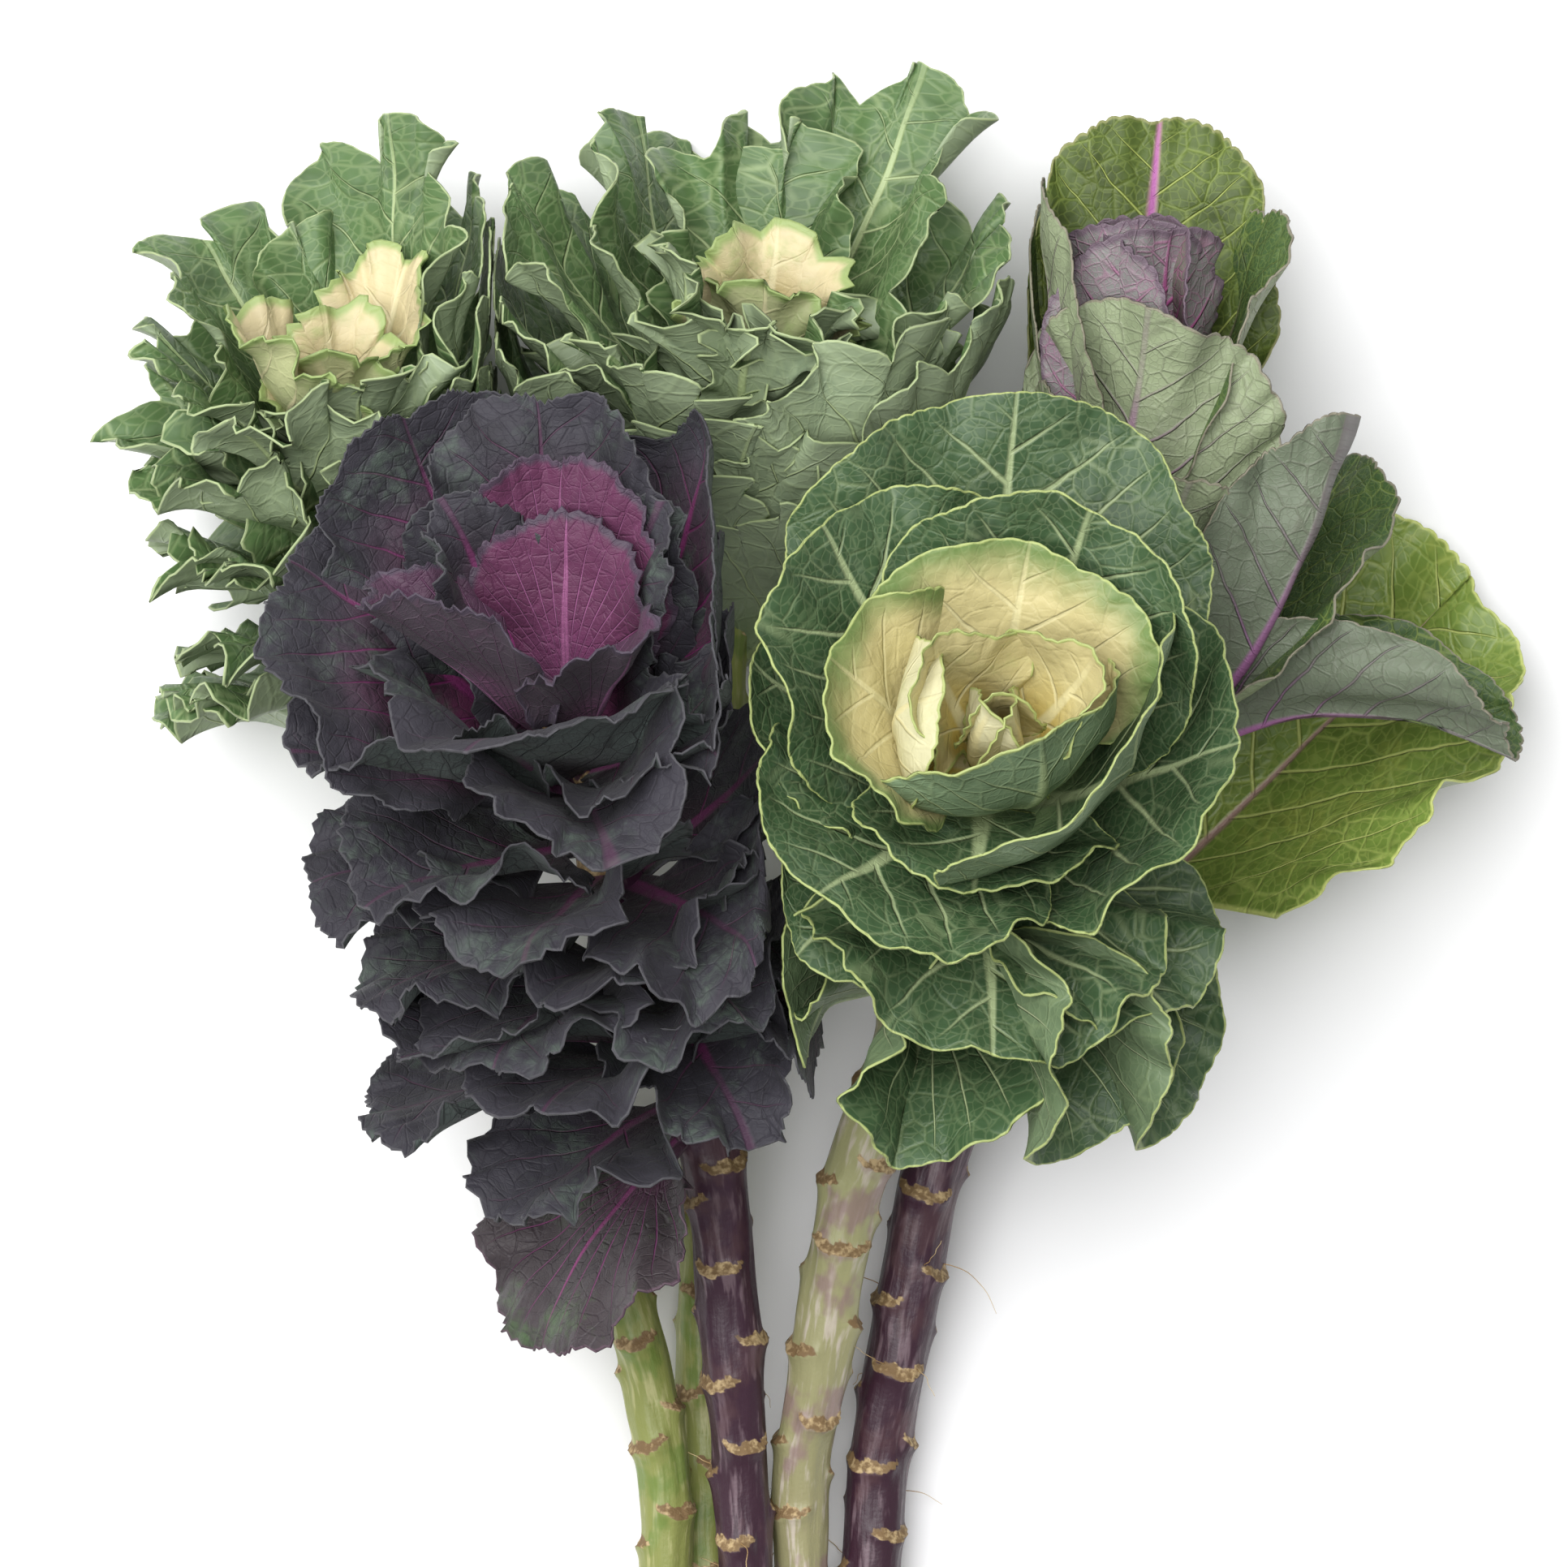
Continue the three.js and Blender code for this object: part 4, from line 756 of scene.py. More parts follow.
def add_hairs(sheets, core, seed, hairy_length, settings):
    """The hair roots of a stem, as thin closed tubes."""
    taper = np.linspace(1, HAIR_TIP, HAIR_STEPS + 1)[:, None, None]
    width = settings.hair_width / MM / 2 * taper
    angle = np.linspace(0, 2 * math.pi, HAIR_SIDES, endpoint=False)[None, :, None]
    index = np.arange((HAIR_STEPS + 1) * HAIR_SIDES).reshape(-1, HAIR_SIDES)
    beside = np.roll(index, -1, axis=1)
    walls = np.stack([index[:-1], beside[:-1], beside[1:], index[1:]], -1).reshape(-1, 4)
    quads = np.vstack([walls, index[0, ::-1], index[-1]])
    along = np.repeat(np.linspace(0, 1, HAIR_STEPS + 1), HAIR_SIDES)
    for hair in range(settings.hairs):
        line = hair_line(core, seed, hair, hairy_length, settings)
        tangent = unit(np.gradient(line, axis=0))
        first = unit(np.cross(tangent, [0.3, 0.5, 0.8]))
        second = np.cross(tangent, first)
        tube = line[:, None] + width * (np.cos(angle) * first[:, None] + np.sin(angle) * second[:, None])
        sheets.add(tube.reshape(-1, 3), quads, along=along)


class Flow:
    """A shader value that takes part in ordinary arithmetic. Each operation adds its Math node."""

    def __init__(self, finish, socket):
        self.finish = finish
        self.socket = socket

    def math(self, operation, *values):
        node = self.finish.node("ShaderNodeMath", {"operation": operation}, dict(enumerate(values)))
        return Flow(self.finish, node.outputs[0])

    def __add__(self, other):
        return self.math("ADD", self, other)

    def __radd__(self, other):
        return self.math("ADD", other, self)

    def __sub__(self, other):
        return self.math("SUBTRACT", self, other)

    def __rsub__(self, other):
        return self.math("SUBTRACT", other, self)

    def __mul__(self, other):
        return self.math("MULTIPLY", self, other)

    def __rmul__(self, other):
        return self.math("MULTIPLY", other, self)

    def __truediv__(self, other):
        return self.math("DIVIDE", self, other)

    def __pow__(self, other):
        return self.math("POWER", self, other)

    def __abs__(self):
        return self.math("ABSOLUTE", self)

    def most(self, other):
        return self.math("MAXIMUM", self, other)

    def least(self, other):
        return self.math("MINIMUM", self, other)

    def fraction(self):
        return self.math("FRACT", self)

    def sign(self):
        return self.math("SIGN", self)


class Finish:
    """A node material. Every node comes from its node method."""

    def __init__(self, name):
        self.material = bpy.data.materials.new(name)
        self.material.use_nodes = True
        self.tree = self.material.node_tree
        self.shader = self.tree.nodes["Principled BSDF"]

    def node(self, kind, settings=None, inputs=None):
        """Adds a node: its type, its settings, and the values or links of its sockets by name or number."""
        made = self.tree.nodes.new(kind)
        for name, value in (settings or {}).items():
            setattr(made, name, value)
        self.fill(made, inputs or {})
        return made

    def fill(self, node, inputs):
        """Feeds the sockets of a node that are named or numbered."""
        for name, value in inputs.items():
            self.feed(node.inputs[name], value)

    def feed(self, socket, value):
        """Links a flow to a socket, or sets the socket's own value."""
        if isinstance(value, Flow):
            self.tree.links.new(value.socket, socket)
        else:
            socket.default_value = value

    def flow(self, kind, settings=None, inputs=None, output=0):
        """The chosen output of a new node."""
        return Flow(self, self.node(kind, settings, inputs).outputs[output])

    def attribute(self, name, output="Vector"):
        """Values at the vertices, as Sheets holds them."""
        return self.flow("ShaderNodeAttribute", {"attribute_name": name}, output=output)

    def split(self, vector):
        node = self.node("ShaderNodeSeparateXYZ", inputs={0: vector})
        return [Flow(self, output) for output in node.outputs]

    def join(self, x, y, z):
        return self.flow("ShaderNodeCombineXYZ", inputs={0: x, 1: y, 2: z})

    def step(self, value, low, high):
        """Smooth step from 0 at low to 1 at high."""
        inputs = {"Value": value, "From Min": low, "From Max": high}
        return self.flow("ShaderNodeMapRange", {"interpolation_type": "SMOOTHSTEP"}, inputs)

    def noise(self, place, size, detail=3.0, rough=0.55):
        """Noise around 0, between about -0.5 and 0.5, whose patches are about size across."""
        inputs = {"Vector": place, "Scale": 1 / size, "Detail": detail, "Roughness": rough}
        return self.flow("ShaderNodeTexNoise", inputs=inputs) - 0.5

    def cells(self, place, size):
        """Distance to the nearest edge of irregular cells about size across, in cells."""
        inputs = {"Vector": place, "Scale": 1 / size}
        return self.flow("ShaderNodeTexVoronoi", {"feature": "DISTANCE_TO_EDGE"}, inputs)

    def mix(self, first, second, share):
        """Colour between two colours."""
        node = self.node("ShaderNodeMix", {"data_type": "RGBA"}, {"Factor": share})
        sockets = [socket for socket in node.inputs if socket.type == "RGBA"]
        for socket, value in zip(sockets, (first, second)):
            self.feed(socket, value if isinstance(value, Flow) else (*value, 1))
        return Flow(self, node.outputs["Result"])

    def finish(self, colour, roughness, height, constants):
        """Wires the colour, roughness and relief in mm, and sets what is the same all over."""
        bump = self.flow("ShaderNodeBump", inputs={"Strength": 1.0, "Distance": MM, "Height": height})
        self.fill(self.shader, {"Base Color": colour, "Roughness": roughness, "Normal": bump, **constants})
        return self.material


# Patterns of a leaf's skin, in mm
LEAF_APART = 37              # distance between two leaves in the noise fields, so that no two match
VEIN_BEND = 7                # how far the side veins and the net wander
VEIN_BEND_SIZE = 17
VEIN_BEND_REACH = (1, 16)    # distances from the midrib between which the wandering sets in
SIDE_VEIN_CURVE = 0.006
FINE_NET = 0.3               # size of the fine net's cells against the coarse net's
# SHADE_SIZE is the size of the patches of painted shade.
MOTTLE_SIZE, SHADE_SIZE, WORN_SIZE, BLISTER_SIZE, GRAIN_SIZE = 18, 11, 20, 10, 2.5
FAINTEST_VEIN = 0.18         # how much of a vein's colour is left at the rim

# Patterns of a stem's skin, in mm
STREAK_SIZE, BLOTCH_SIZE, WEAR_SIZE, STEM_GRAIN_SIZE = 1.6, 16, 6, 1.2
STREAK_LENGTHENING, WEAR_LENGTHENING = 0.12, 0.4     # scale along the stem against that around it


def veins_of(finish, look, x, y, number, across, spread, rim):
    """Masks of the midrib, the side veins and the fine net between them. All but the midrib wander."""
    rib_width = 0.7 + 2.0 * (1 - spread) ** 1.4
    midrib = 1 - finish.step(abs(x), rib_width * 0.25, rib_width * look["midrib"])
    away = finish.step(abs(x), *VEIN_BEND_REACH)
    first_bend = finish.join(x, y, number * LEAF_APART + 11)
    bend_x = finish.noise(first_bend, VEIN_BEND_SIZE, 2) * VEIN_BEND * away
    second_bend = finish.join(x, y, number * LEAF_APART + 23)
    bend_y = finish.noise(second_bend, VEIN_BEND_SIZE, 2) * VEIN_BEND * away
    place = finish.join(x + bend_x, y + bend_y, number * LEAF_APART)
    drift = bend_y + bend_x
    if look["fan"]:
        radius = (x * x + y * y) ** 0.5
        phase = (across * look["fan"] + drift * 0.02 + 100.5).fraction()
        distance = abs(phase - 0.5) * radius * (FAN / look["fan"])
    else:
        slanted = y - abs(x) * look["slope"] - x * x * SIDE_VEIN_CURVE + drift * 0.6
        phase = (slanted / look["pitch"] + x.sign() * 0.25 + 100).fraction()
        distance = abs(phase - 0.5) * (look["pitch"] * 0.75)
    width = (rim * 0.02 + 0.35).least(1.0) * look["vein_width"]
    side = (1 - finish.step(distance, width * 0.2, width)) * finish.step(rim, 0.5, 12)
    coarse = 1 - finish.step(finish.cells(place, look["cell"]), 0.0, 0.08)
    fine = 1 - finish.step(finish.cells(place, look["cell"] * FINE_NET), 0.0, 0.14)
    return midrib, side, coarse, fine


def leaf_material(name, look):
    """Leaf skin: veined, mottled and rimmed, with patches of painted shade, and with a face of its own on the
    inner and on the outer side.
    """
    finish = Finish(name)
    x, y, number = finish.split(finish.attribute("plan"))
    spread, across, rim = finish.split(finish.attribute("spot"))
    outer = finish.attribute("side", "Fac")
    place = finish.join(x, y, number * LEAF_APART)
    midrib, side, coarse, fine = veins_of(finish, look, x, y, number, across, spread, rim)
    patches = finish.noise(place, MOTTLE_SIZE)
    grain = finish.noise(place, GRAIN_SIZE, 2)
    growth = finish.step(spread + patches * 0.35, *look["foot"])
    inner_face = finish.mix(look["foot_colour"], look["inner"], growth)
    outer_face = finish.mix(look["outer_foot_colour"], look["outer"], growth)
    base = finish.mix(inner_face, outer_face, outer)
    mottled = finish.step(patches + grain * 0.4, 0.0, 0.3)
    base = finish.mix(base, look["mottle_colour"], mottled * look["mottle"])
    # Painted shade: noise patches darken the colour towards 0.45 of the inner face's, standing in for shadow
    # among the leaves. They are weaker on the outer faces, and as strong as the look's shade.
    dark = [value * 0.45 for value in look["inner"]]
    shaded = finish.step(finish.noise(place, SHADE_SIZE), -0.05, 0.3)
    base = finish.mix(base, dark, shaded * look["shade"] * (1 - outer * 0.6))
    fading = 1 - finish.step(spread, *look["vein_reach"])
    worn = finish.step(finish.noise(place, WORN_SIZE) + 0.1, -0.2, 0.3)
    inner_net, outer_net = look["net"]
    net_share = (coarse * worn).most(fine * 0.4) * (inner_net + (outer_net - inner_net) * outer)
    net_colour = finish.mix(look["net_colour"], look["outer_net_colour"], outer)
    vein_colour = finish.mix(look["vein"], look["outer_vein"], outer)
    colour = finish.mix(base, net_colour, net_share)
    vein_share = midrib.most(side) * (FAINTEST_VEIN + (1 - FAINTEST_VEIN) * fading)
    colour = finish.mix(colour, vein_colour, vein_share)
    colour = finish.mix(colour, look["midrib_colour"], midrib * fading)
    edge = 1 - finish.step(rim + grain * 1.2, look["rim_width"] * 0.5, look["rim_width"] * 1.6)
    colour = finish.mix(colour, look["rim"], edge * 0.9)
    facing = 2 * outer - 1
    raised = (side.most(midrib * 0.6) * 0.5).most(coarse * 0.16) + fine * 0.05
    blisters = finish.noise(place, BLISTER_SIZE, 2) * look["blister"]
    height = facing * (raised * look["relief"] - blisters) + grain * 0.12
    roughness = look["rough"] + grain * 0.15 - raised * 0.08
    constants = {"Specular IOR Level": look["gloss"], "Sheen Weight": look["sheen"]}
    return finish.finish(colour, roughness, height, constants)


def stem_material(name, look):
    """Stem skin, with a waxy bloom, tan leaf scars and a pale cut end."""
    finish = Finish(name)
    place = finish.attribute("plan")
    scar = finish.attribute("scar", "Fac")
    cut = finish.attribute("cut", "Fac")
    up = finish.attribute("up", "Fac")
    east, north, along = finish.split(place)
    streaks = finish.noise(finish.join(east, north, along * STREAK_LENGTHENING), STREAK_SIZE)
    patches = finish.noise(place, BLOTCH_SIZE)
    grain = finish.noise(place, STEM_GRAIN_SIZE, 2)
    colour = finish.mix(look["low"], look["high"], finish.step(up + patches * 0.3, 0.2, 0.95))
    worn = finish.noise(finish.join(east, north, along * WEAR_LENGTHENING), WEAR_SIZE)
    bloomed = finish.step(streaks + worn * 0.9, 0.0, 0.22)
    colour = finish.mix(colour, look["bloom"], bloomed * look["bloom_share"])
    blotched = finish.step(patches + worn * 0.5, 0.03, 0.16)
    colour = finish.mix(colour, look["patch"], blotched * look["patch_share"])
    scar_colour = finish.mix(look["scar"], look["scar_edge"], finish.step(grain + worn, -0.1, 0.25))
    colour = finish.mix(colour, scar_colour, finish.step(scar + grain * 0.7, 0.25, 0.6))
    colour = finish.mix(colour, look["pith"], cut)
    roughness = 0.42 + grain * 0.2 + scar * 0.35
    height = streaks * 0.25 + grain * (0.1 + 0.3 * scar)
    return finish.finish(colour, roughness, height, {"Specular IOR Level": 0.45})


def hair_material():
    """Dry hair roots, paler towards their tips. Their grain is laid out in the scene's own metres."""
    finish = Finish("dry_hair_roots")
    along = finish.attribute("along", "Fac")
    ground = finish.flow("ShaderNodeTexCoord", output="Object")
    grain = finish.noise(ground, 4 * MM)
    colour = finish.mix((0.36, 0.22, 0.09), (0.62, 0.47, 0.25), finish.step(along + grain, 0.1, 0.9))
    return finish.finish(colour, 0.7 + grain * 0.2, grain, {"Specular IOR Level": 0.3})


def colour(name, description, default):
    """A colour that the user can change."""
    return bpy.props.FloatVectorProperty(
        name=name, description=description, default=default, subtype="COLOR", size=3, min=0, max=1,
    )


def size(name, description, default_mm, lowest_mm, highest_mm):
    """A length that the user can change, given in mm and held in metres."""
    return bpy.props.FloatProperty(
        name=name, description=description, default=default_mm * MM,
        min=lowest_mm * MM, max=highest_mm * MM, precision=5, unit="LENGTH",
    )


class BladeSettings(bpy.types.PropertyGroup):
    thickness: size("Blade thickness", "Thickness of a leaf blade away from its midrib", 0.55, 0.2, 1.5)
    column_step: size("Column step", "Distance between mesh columns along a leaf's rim", 1.5, 0.6, 6)


class StemSettings(bpy.types.PropertyGroup):
    ring_step: size("Ring step", "Distance between mesh rings along a stem", 1.0, 0.5, 5)
    scar_spacing: size("Scar spacing", "Distance along a stem from one leaf scar to the next", 9, 4, 40)
    scar_height: size("Scar height", "How far the ledge of a leaf scar stands out", 1.9, 0.3, 3)
    hair_width: size("Hair width", "Thickness of a dry hair root", 0.3, 0.1, 1)
    hair_length: size("Hair length", "Length of the longest hair roots", 24, 5, 60)
    hairs: bpy.props.IntProperty(
        name="Hairs", description="Number of dry hair roots on each stem", default=22, min=0, max=80,
    )
    scar: colour("Scar", "Dry tissue of the leaf scars", (0.17, 0.105, 0.045))
    scar_edge: colour("Scar edge", "Corky pale parts of the leaf scars", (0.46, 0.34, 0.18))
    pith: colour("Pith", "Pale flesh of the cut ends", (0.60, 0.62, 0.38))
    purple: colour("Purple stem", "Skin of the two dark stems", (0.034, 0.012, 0.022))
    pale: colour("Pale stem", "Skin of the cream-hearted kale's stem", (0.27, 0.25, 0.13))
    green: colour("Green stem", "Skin of the frilled kales' stems", (0.22, 0.24, 0.07))


class PurpleHeadSettings(bpy.types.PropertyGroup):
    inner: colour("Inner face", "Upper face of the dark outer leaves", (0.036, 0.034, 0.043))
    outer: colour("Outer face", "Back of the dark outer leaves", (0.076, 0.094, 0.088))
    vein: colour("Veins", "Veins near the foot of a leaf", (0.17, 0.022, 0.11))
    heart: colour("Heart", "Leaves in the middle of the head", (0.096, 0.026, 0.064))
    heart_vein: colour("Heart veins", "Veins of the heart leaves", (0.27, 0.085, 0.20))
    heart_rim: colour("Heart rims", "Margins of the heart leaves", (0.055, 0.042, 0.062))


class CreamHeadSettings(bpy.types.PropertyGroup):
    inner: colour("Inner face", "Upper face of the smooth leaves", (0.042, 0.084, 0.034))
    outer: colour("Outer face", "Back of the smooth leaves", (0.165, 0.235, 0.135))
    vein: colour("Veins", "Broad midribs and their branches", (0.34, 0.41, 0.215))
    rim: colour("Rims", "Thin margins of the leaves", (0.36, 0.42, 0.15))
    heart: colour("Heart", "Leaves in the middle of the head", (0.49, 0.43, 0.21))
    bud: colour("Bud", "Foot of the heart leaves", (0.50, 0.37, 0.08))


class TallHeadSettings(bpy.types.PropertyGroup):
    inner: colour("Inner face", "Upper face of the leaves", (0.050, 0.095, 0.030))
    outer: colour("Outer face", "Bloomed back of the leaves", (0.27, 0.32, 0.19))
    vein: colour("Veins", "Purple veins and midribs on the backs", (0.28, 0.10, 0.27))
    # The leaf behind the head takes this colour darkened, as painted shade.
    bright: colour("Bright leaves", "The leaf behind the head and the one at its side", (0.165, 0.250, 0.045))
    heart: colour("Heart", "Cup of young leaves", (0.15, 0.15, 0.12))


class FrilledHeadSettings(bpy.types.PropertyGroup):
    inner: colour("Inner face", "Upper face of the frilled leaves", (0.082, 0.148, 0.052))
    outer: colour("Outer face", "Back of the frilled leaves", (0.25, 0.31, 0.19))
    vein: colour("Veins", "Veins of the frilled leaves", (0.36, 0.44, 0.22))
    rim: colour("Rims", "Pale margins of the frills", (0.34, 0.41, 0.21))
    heart: colour("Heart", "Leaves in the middle of the heads", (0.55, 0.47, 0.28))


class StageSettings(bpy.types.PropertyGroup):
    floor: colour("Floor", "Plain pale surface that the bunch lies on", (0.93, 0.93, 0.94))
    floor_size: bpy.props.FloatProperty(
        name="Floor size", description="Length of a side of the surface", default=8, min=1, unit="LENGTH",
    )
    camera_height: bpy.props.FloatProperty(
        name="Camera height", description="Height of the camera above the surface",
        default=1.7, min=0.5, max=5, unit="LENGTH",
    )
    fill: bpy.props.FloatProperty(
        name="Fill light", description="Strength of the even light from all round",
        default=0.34, min=0, max=3,
    )
    key_power: bpy.props.FloatProperty(
        name="Key light", description="Power of the soft light", default=54, min=0, max=200, unit="POWER",
    )
    key_size: bpy.props.FloatProperty(
        name="Key size", description="Length of a side of the soft light",
        default=1.9, min=0.1, unit="LENGTH",
    )
    key_place: bpy.props.FloatVectorProperty(
        name="Key place", description="Where the soft light hangs", default=(-0.46, 0.38, 1.46),
        size=3, subtype="TRANSLATION", unit="LENGTH",
    )
    key_target: bpy.props.FloatVectorProperty(
        name="Key target", description="Point that the soft light faces", default=(0, 0, 0.05),
        size=3, subtype="TRANSLATION", unit="LENGTH",
    )


# What every leaf look starts from. A foot and a vein_reach are shares of the way from the stalk to the rim
# between which the foot's colour and the veins fade out. A net is the strength of the finest veins on the
# inner and on the outer face. A fan is the number of veins that spread from the stalk on each side, and 0
# stands for side veins at a pitch. Lengths are in mm.
# A shade is the strength of the patches of painted shade on a leaf.
PLAIN_LOOK = {
    "foot": (0.0, 0.5), "mottle": 0.0, "shade": 0.5, "midrib": 1.0, "fan": 0, "slope": 0.8, "pitch": 13,
    "vein_width": 1.0, "vein_reach": (0.4, 1.0), "net": (0.3, 0.2), "cell": 6.5, "rim_width": 0.9,
    "relief": 1.0, "blister": 1.2, "rough": 0.5, "gloss": 0.35, "sheen": 0.0,
}


def look(inner, outer, vein, **changes):
    """A leaf look. What isn't given follows from the faces and the veins."""
    faces = {
        "inner": tuple(inner), "outer": tuple(outer), "vein": tuple(vein),
        "foot_colour": tuple(inner), "outer_foot_colour": tuple(outer), "midrib_colour": tuple(vein),
        "net_colour": tuple(vein), "rim": tuple(vein), "mottle_colour": tuple(outer),
    }
    made = {**PLAIN_LOOK, **faces, **changes}
    made.setdefault("outer_vein", made["vein"])
    made.setdefault("outer_net_colour", made["net_colour"])
    return made


def add_leaves(name, kale_name, part, numbers, material, slot, node):
    """One piece of some leaves of a kale's heart or of its outer leaves."""
    settings = bpy.context.scene.kale_blades
    column_step, thickness = settings.column_step / MM, settings.thickness / MM
    kale = KALES[kale_name]
    core = Core(kale["core"])
    sheets = Sheets()
    first = 1 if part == "heart" else FIRST_LEAF
    for i in numbers:
        add_leaf(sheets, core, kale_name, kale[part][i], first + i, column_step, thickness)
    sheets.build(name, material, slot, node)


class KALE_OT_stems(bpy.types.Operator):
    """Make the five scarred stems with their dry hair roots"""
    bl_idname = "kale.stems"
    bl_label = "Stems"

    def execute(self, context):
        settings = context.scene.kale_stems
        purple = {
            "low": tuple(settings.purple), "high": (0.050, 0.016, 0.038), "bloom": (0.17, 0.115, 0.135),
            "bloom_share": 0.75, "patch": (0.075, 0.035, 0.040), "patch_share": 0.6,
        }
        pale = {
            "low": tuple(settings.pale), "high": (0.33, 0.34, 0.16), "bloom": (0.50, 0.44, 0.37),
            "bloom_share": 0.8, "patch": (0.24, 0.16, 0.15), "patch_share": 0.8,
        }
        green = {
            "low": tuple(settings.green), "high": (0.25, 0.29, 0.07), "bloom": (0.40, 0.39, 0.18),
            "bloom_share": 0.8, "patch": (0.12, 0.19, 0.035), "patch_share": 0.75,
        }
        kinds = {
            "purple": ("purple_stem", purple), "cream": ("pale_stem", pale),
            "tall": ("purple_stem", purple), "frilledLeft": ("green_stem", green),
            "frilledMiddle": ("green_stem", green),
        }
        shared = {name: tuple(getattr(settings, name)) for name in ("scar", "scar_edge", "pith")}
        materials = {}
        hairs = Sheets()
        for kale_name, (slot, stem_look) in kinds.items():
            if slot not in materials:
                materials[slot] = stem_material(slot, {**stem_look, **shared})
            seed = KALES[kale_name]["seed"]
            core = Core(KALES[kale_name]["core"])
            stem = Sheets()
            add_stem(stem, core, seed, settings)
            stem.build(kale_name + "_stem_skin", materials[slot], slot, kale_name + "_stem")
            add_hairs(hairs, core, seed, HAIRY_LENGTH[kale_name], settings)
        hairs.build("hair_roots", hair_material(), "pale_stem")
        return {"FINISHED"}


class KALE_OT_purple_head(bpy.types.Operator):
    """Make the dark head with its magenta heart"""
    bl_idname = "kale.purple_head"
    bl_label = "Purple Head"

    def execute(self, context):
        settings = context.scene.kale_purple
        # The foot colours are purple and darker than the faces: partly the leaves' own purple at the foot,
        # and partly painted shade deep in the head. A shade of 1 gives the patches of painted shade their
        # full strength.
        dark = {
            "foot_colour": (0.028, 0.011, 0.021), "outer_foot_colour": (0.06, 0.036, 0.052),
            "net_colour": (0.022, 0.018, 0.026), "outer_net_colour": (0.018, 0.018, 0.020),
            "outer_vein": (0.030, 0.022, 0.032), "rim": (0.062, 0.060, 0.068), "mottle": 1.0, "shade": 1.0,
            "mottle_colour": (0.078, 0.104, 0.084), "midrib_colour": (0.13, 0.025, 0.09), "net": (0.45, 0.85),
            "cell": 4.5, "vein_width": 0.6, "rim_width": 0.35, "rough": 0.6, "gloss": 0.22, "sheen": 0.05,
            "blister": 1.6,
        }
        flushed = {**dark, "foot_colour": (0.12, 0.028, 0.075), "midrib_colour": (0.20, 0.03, 0.13)}
        colours = (settings.inner, settings.outer, settings.vein)
        leaves = leaf_material("purple_leaves", look(
            *colours, vein_reach=(0.05, 0.5), foot=(-0.1, 0.5), **dark,
        ))
        ring = leaf_material("purple_ring_leaves", look(
            *colours, vein_reach=(0.3, 0.9), foot=(0.1, 0.85), **flushed,
        ))
        heart = leaf_material("magenta_heart", look(
            settings.heart, (0.15, 0.03, 0.09), settings.heart_vein,
            foot_colour=(0.17, 0.045, 0.12), outer_foot_colour=(0.16, 0.05, 0.12),
            net_colour=(0.18, 0.055, 0.13), rim=tuple(settings.heart_rim), mottle_colour=(0.075, 0.028, 0.06),
            mottle=0.5, midrib_colour=(0.26, 0.085, 0.19), midrib=0.55, fan=9, vein_reach=(0.6, 1.1),
            net=(0.3, 0.3), cell=4, vein_width=0.6, rim_width=2.2, gloss=0.25, sheen=0.05,
        ))
        place = ("purple_leaves", "purple_leaves")
        low = (*range(14, 20), 21, *range(24, 31))
        add_leaves("purple_inner_leaves", "purple", "leaves", (0, 1, 2, 3, 22, 23), ring, *place)
        add_leaves("purple_cup_leaves", "purple", "leaves", range(4, 14), leaves, *place)
        add_leaves("purple_low_leaves", "purple", "leaves", low, leaves, *place)
        hanging = leaf_material("purple_hanging_leaf", look(
            (0.046, 0.036, 0.040), (0.070, 0.072, 0.064), (0.22, 0.045, 0.16),
            foot_colour=(0.10, 0.028, 0.07), outer_vein=(0.17, 0.04, 0.12), midrib_colour=(0.24, 0.04, 0.16),
            mottle_colour=(0.055, 0.092, 0.040), mottle=1.0, fan=8, vein_width=0.55, midrib=0.6,
            net_colour=(0.030, 0.022, 0.030), net=(0.4, 0.4), cell=5, rim=(0.085, 0.05, 0.07), rim_width=0.6,
            gloss=0.3, foot=(-0.1, 0.4),
        ))
        add_leaves("purple_hanging_leaf", "purple", "leaves", (20,), hanging, *place)
        plum = leaf_material("plum_heart", look(
            (0.080, 0.036, 0.068), (0.056, 0.044, 0.056), (0.24, 0.10, 0.20),
            foot_colour=(0.12, 0.035, 0.09), outer_foot_colour=(0.10, 0.04, 0.08),
            outer_vein=(0.10, 0.05, 0.09), net_colour=(0.10, 0.04, 0.08), rim=tuple(settings.heart_rim),
            mottle_colour=(0.048, 0.036, 0.048), mottle=0.6, midrib=0.5, fan=9, vein_reach=(0.5, 1.1),
            net=(0.3, 0.3), cell=4, vein_width=0.6, rim_width=1.8, gloss=0.25, sheen=0.05,
        ))
        place = ("magenta_heart", "purple_heart")
        add_leaves("purple_heart_leaves", "purple", "heart", range(2), heart, *place)
        add_leaves("purple_heart_front_leaves", "purple", "heart", (2, 3), plum, *place)
        return {"FINISHED"}


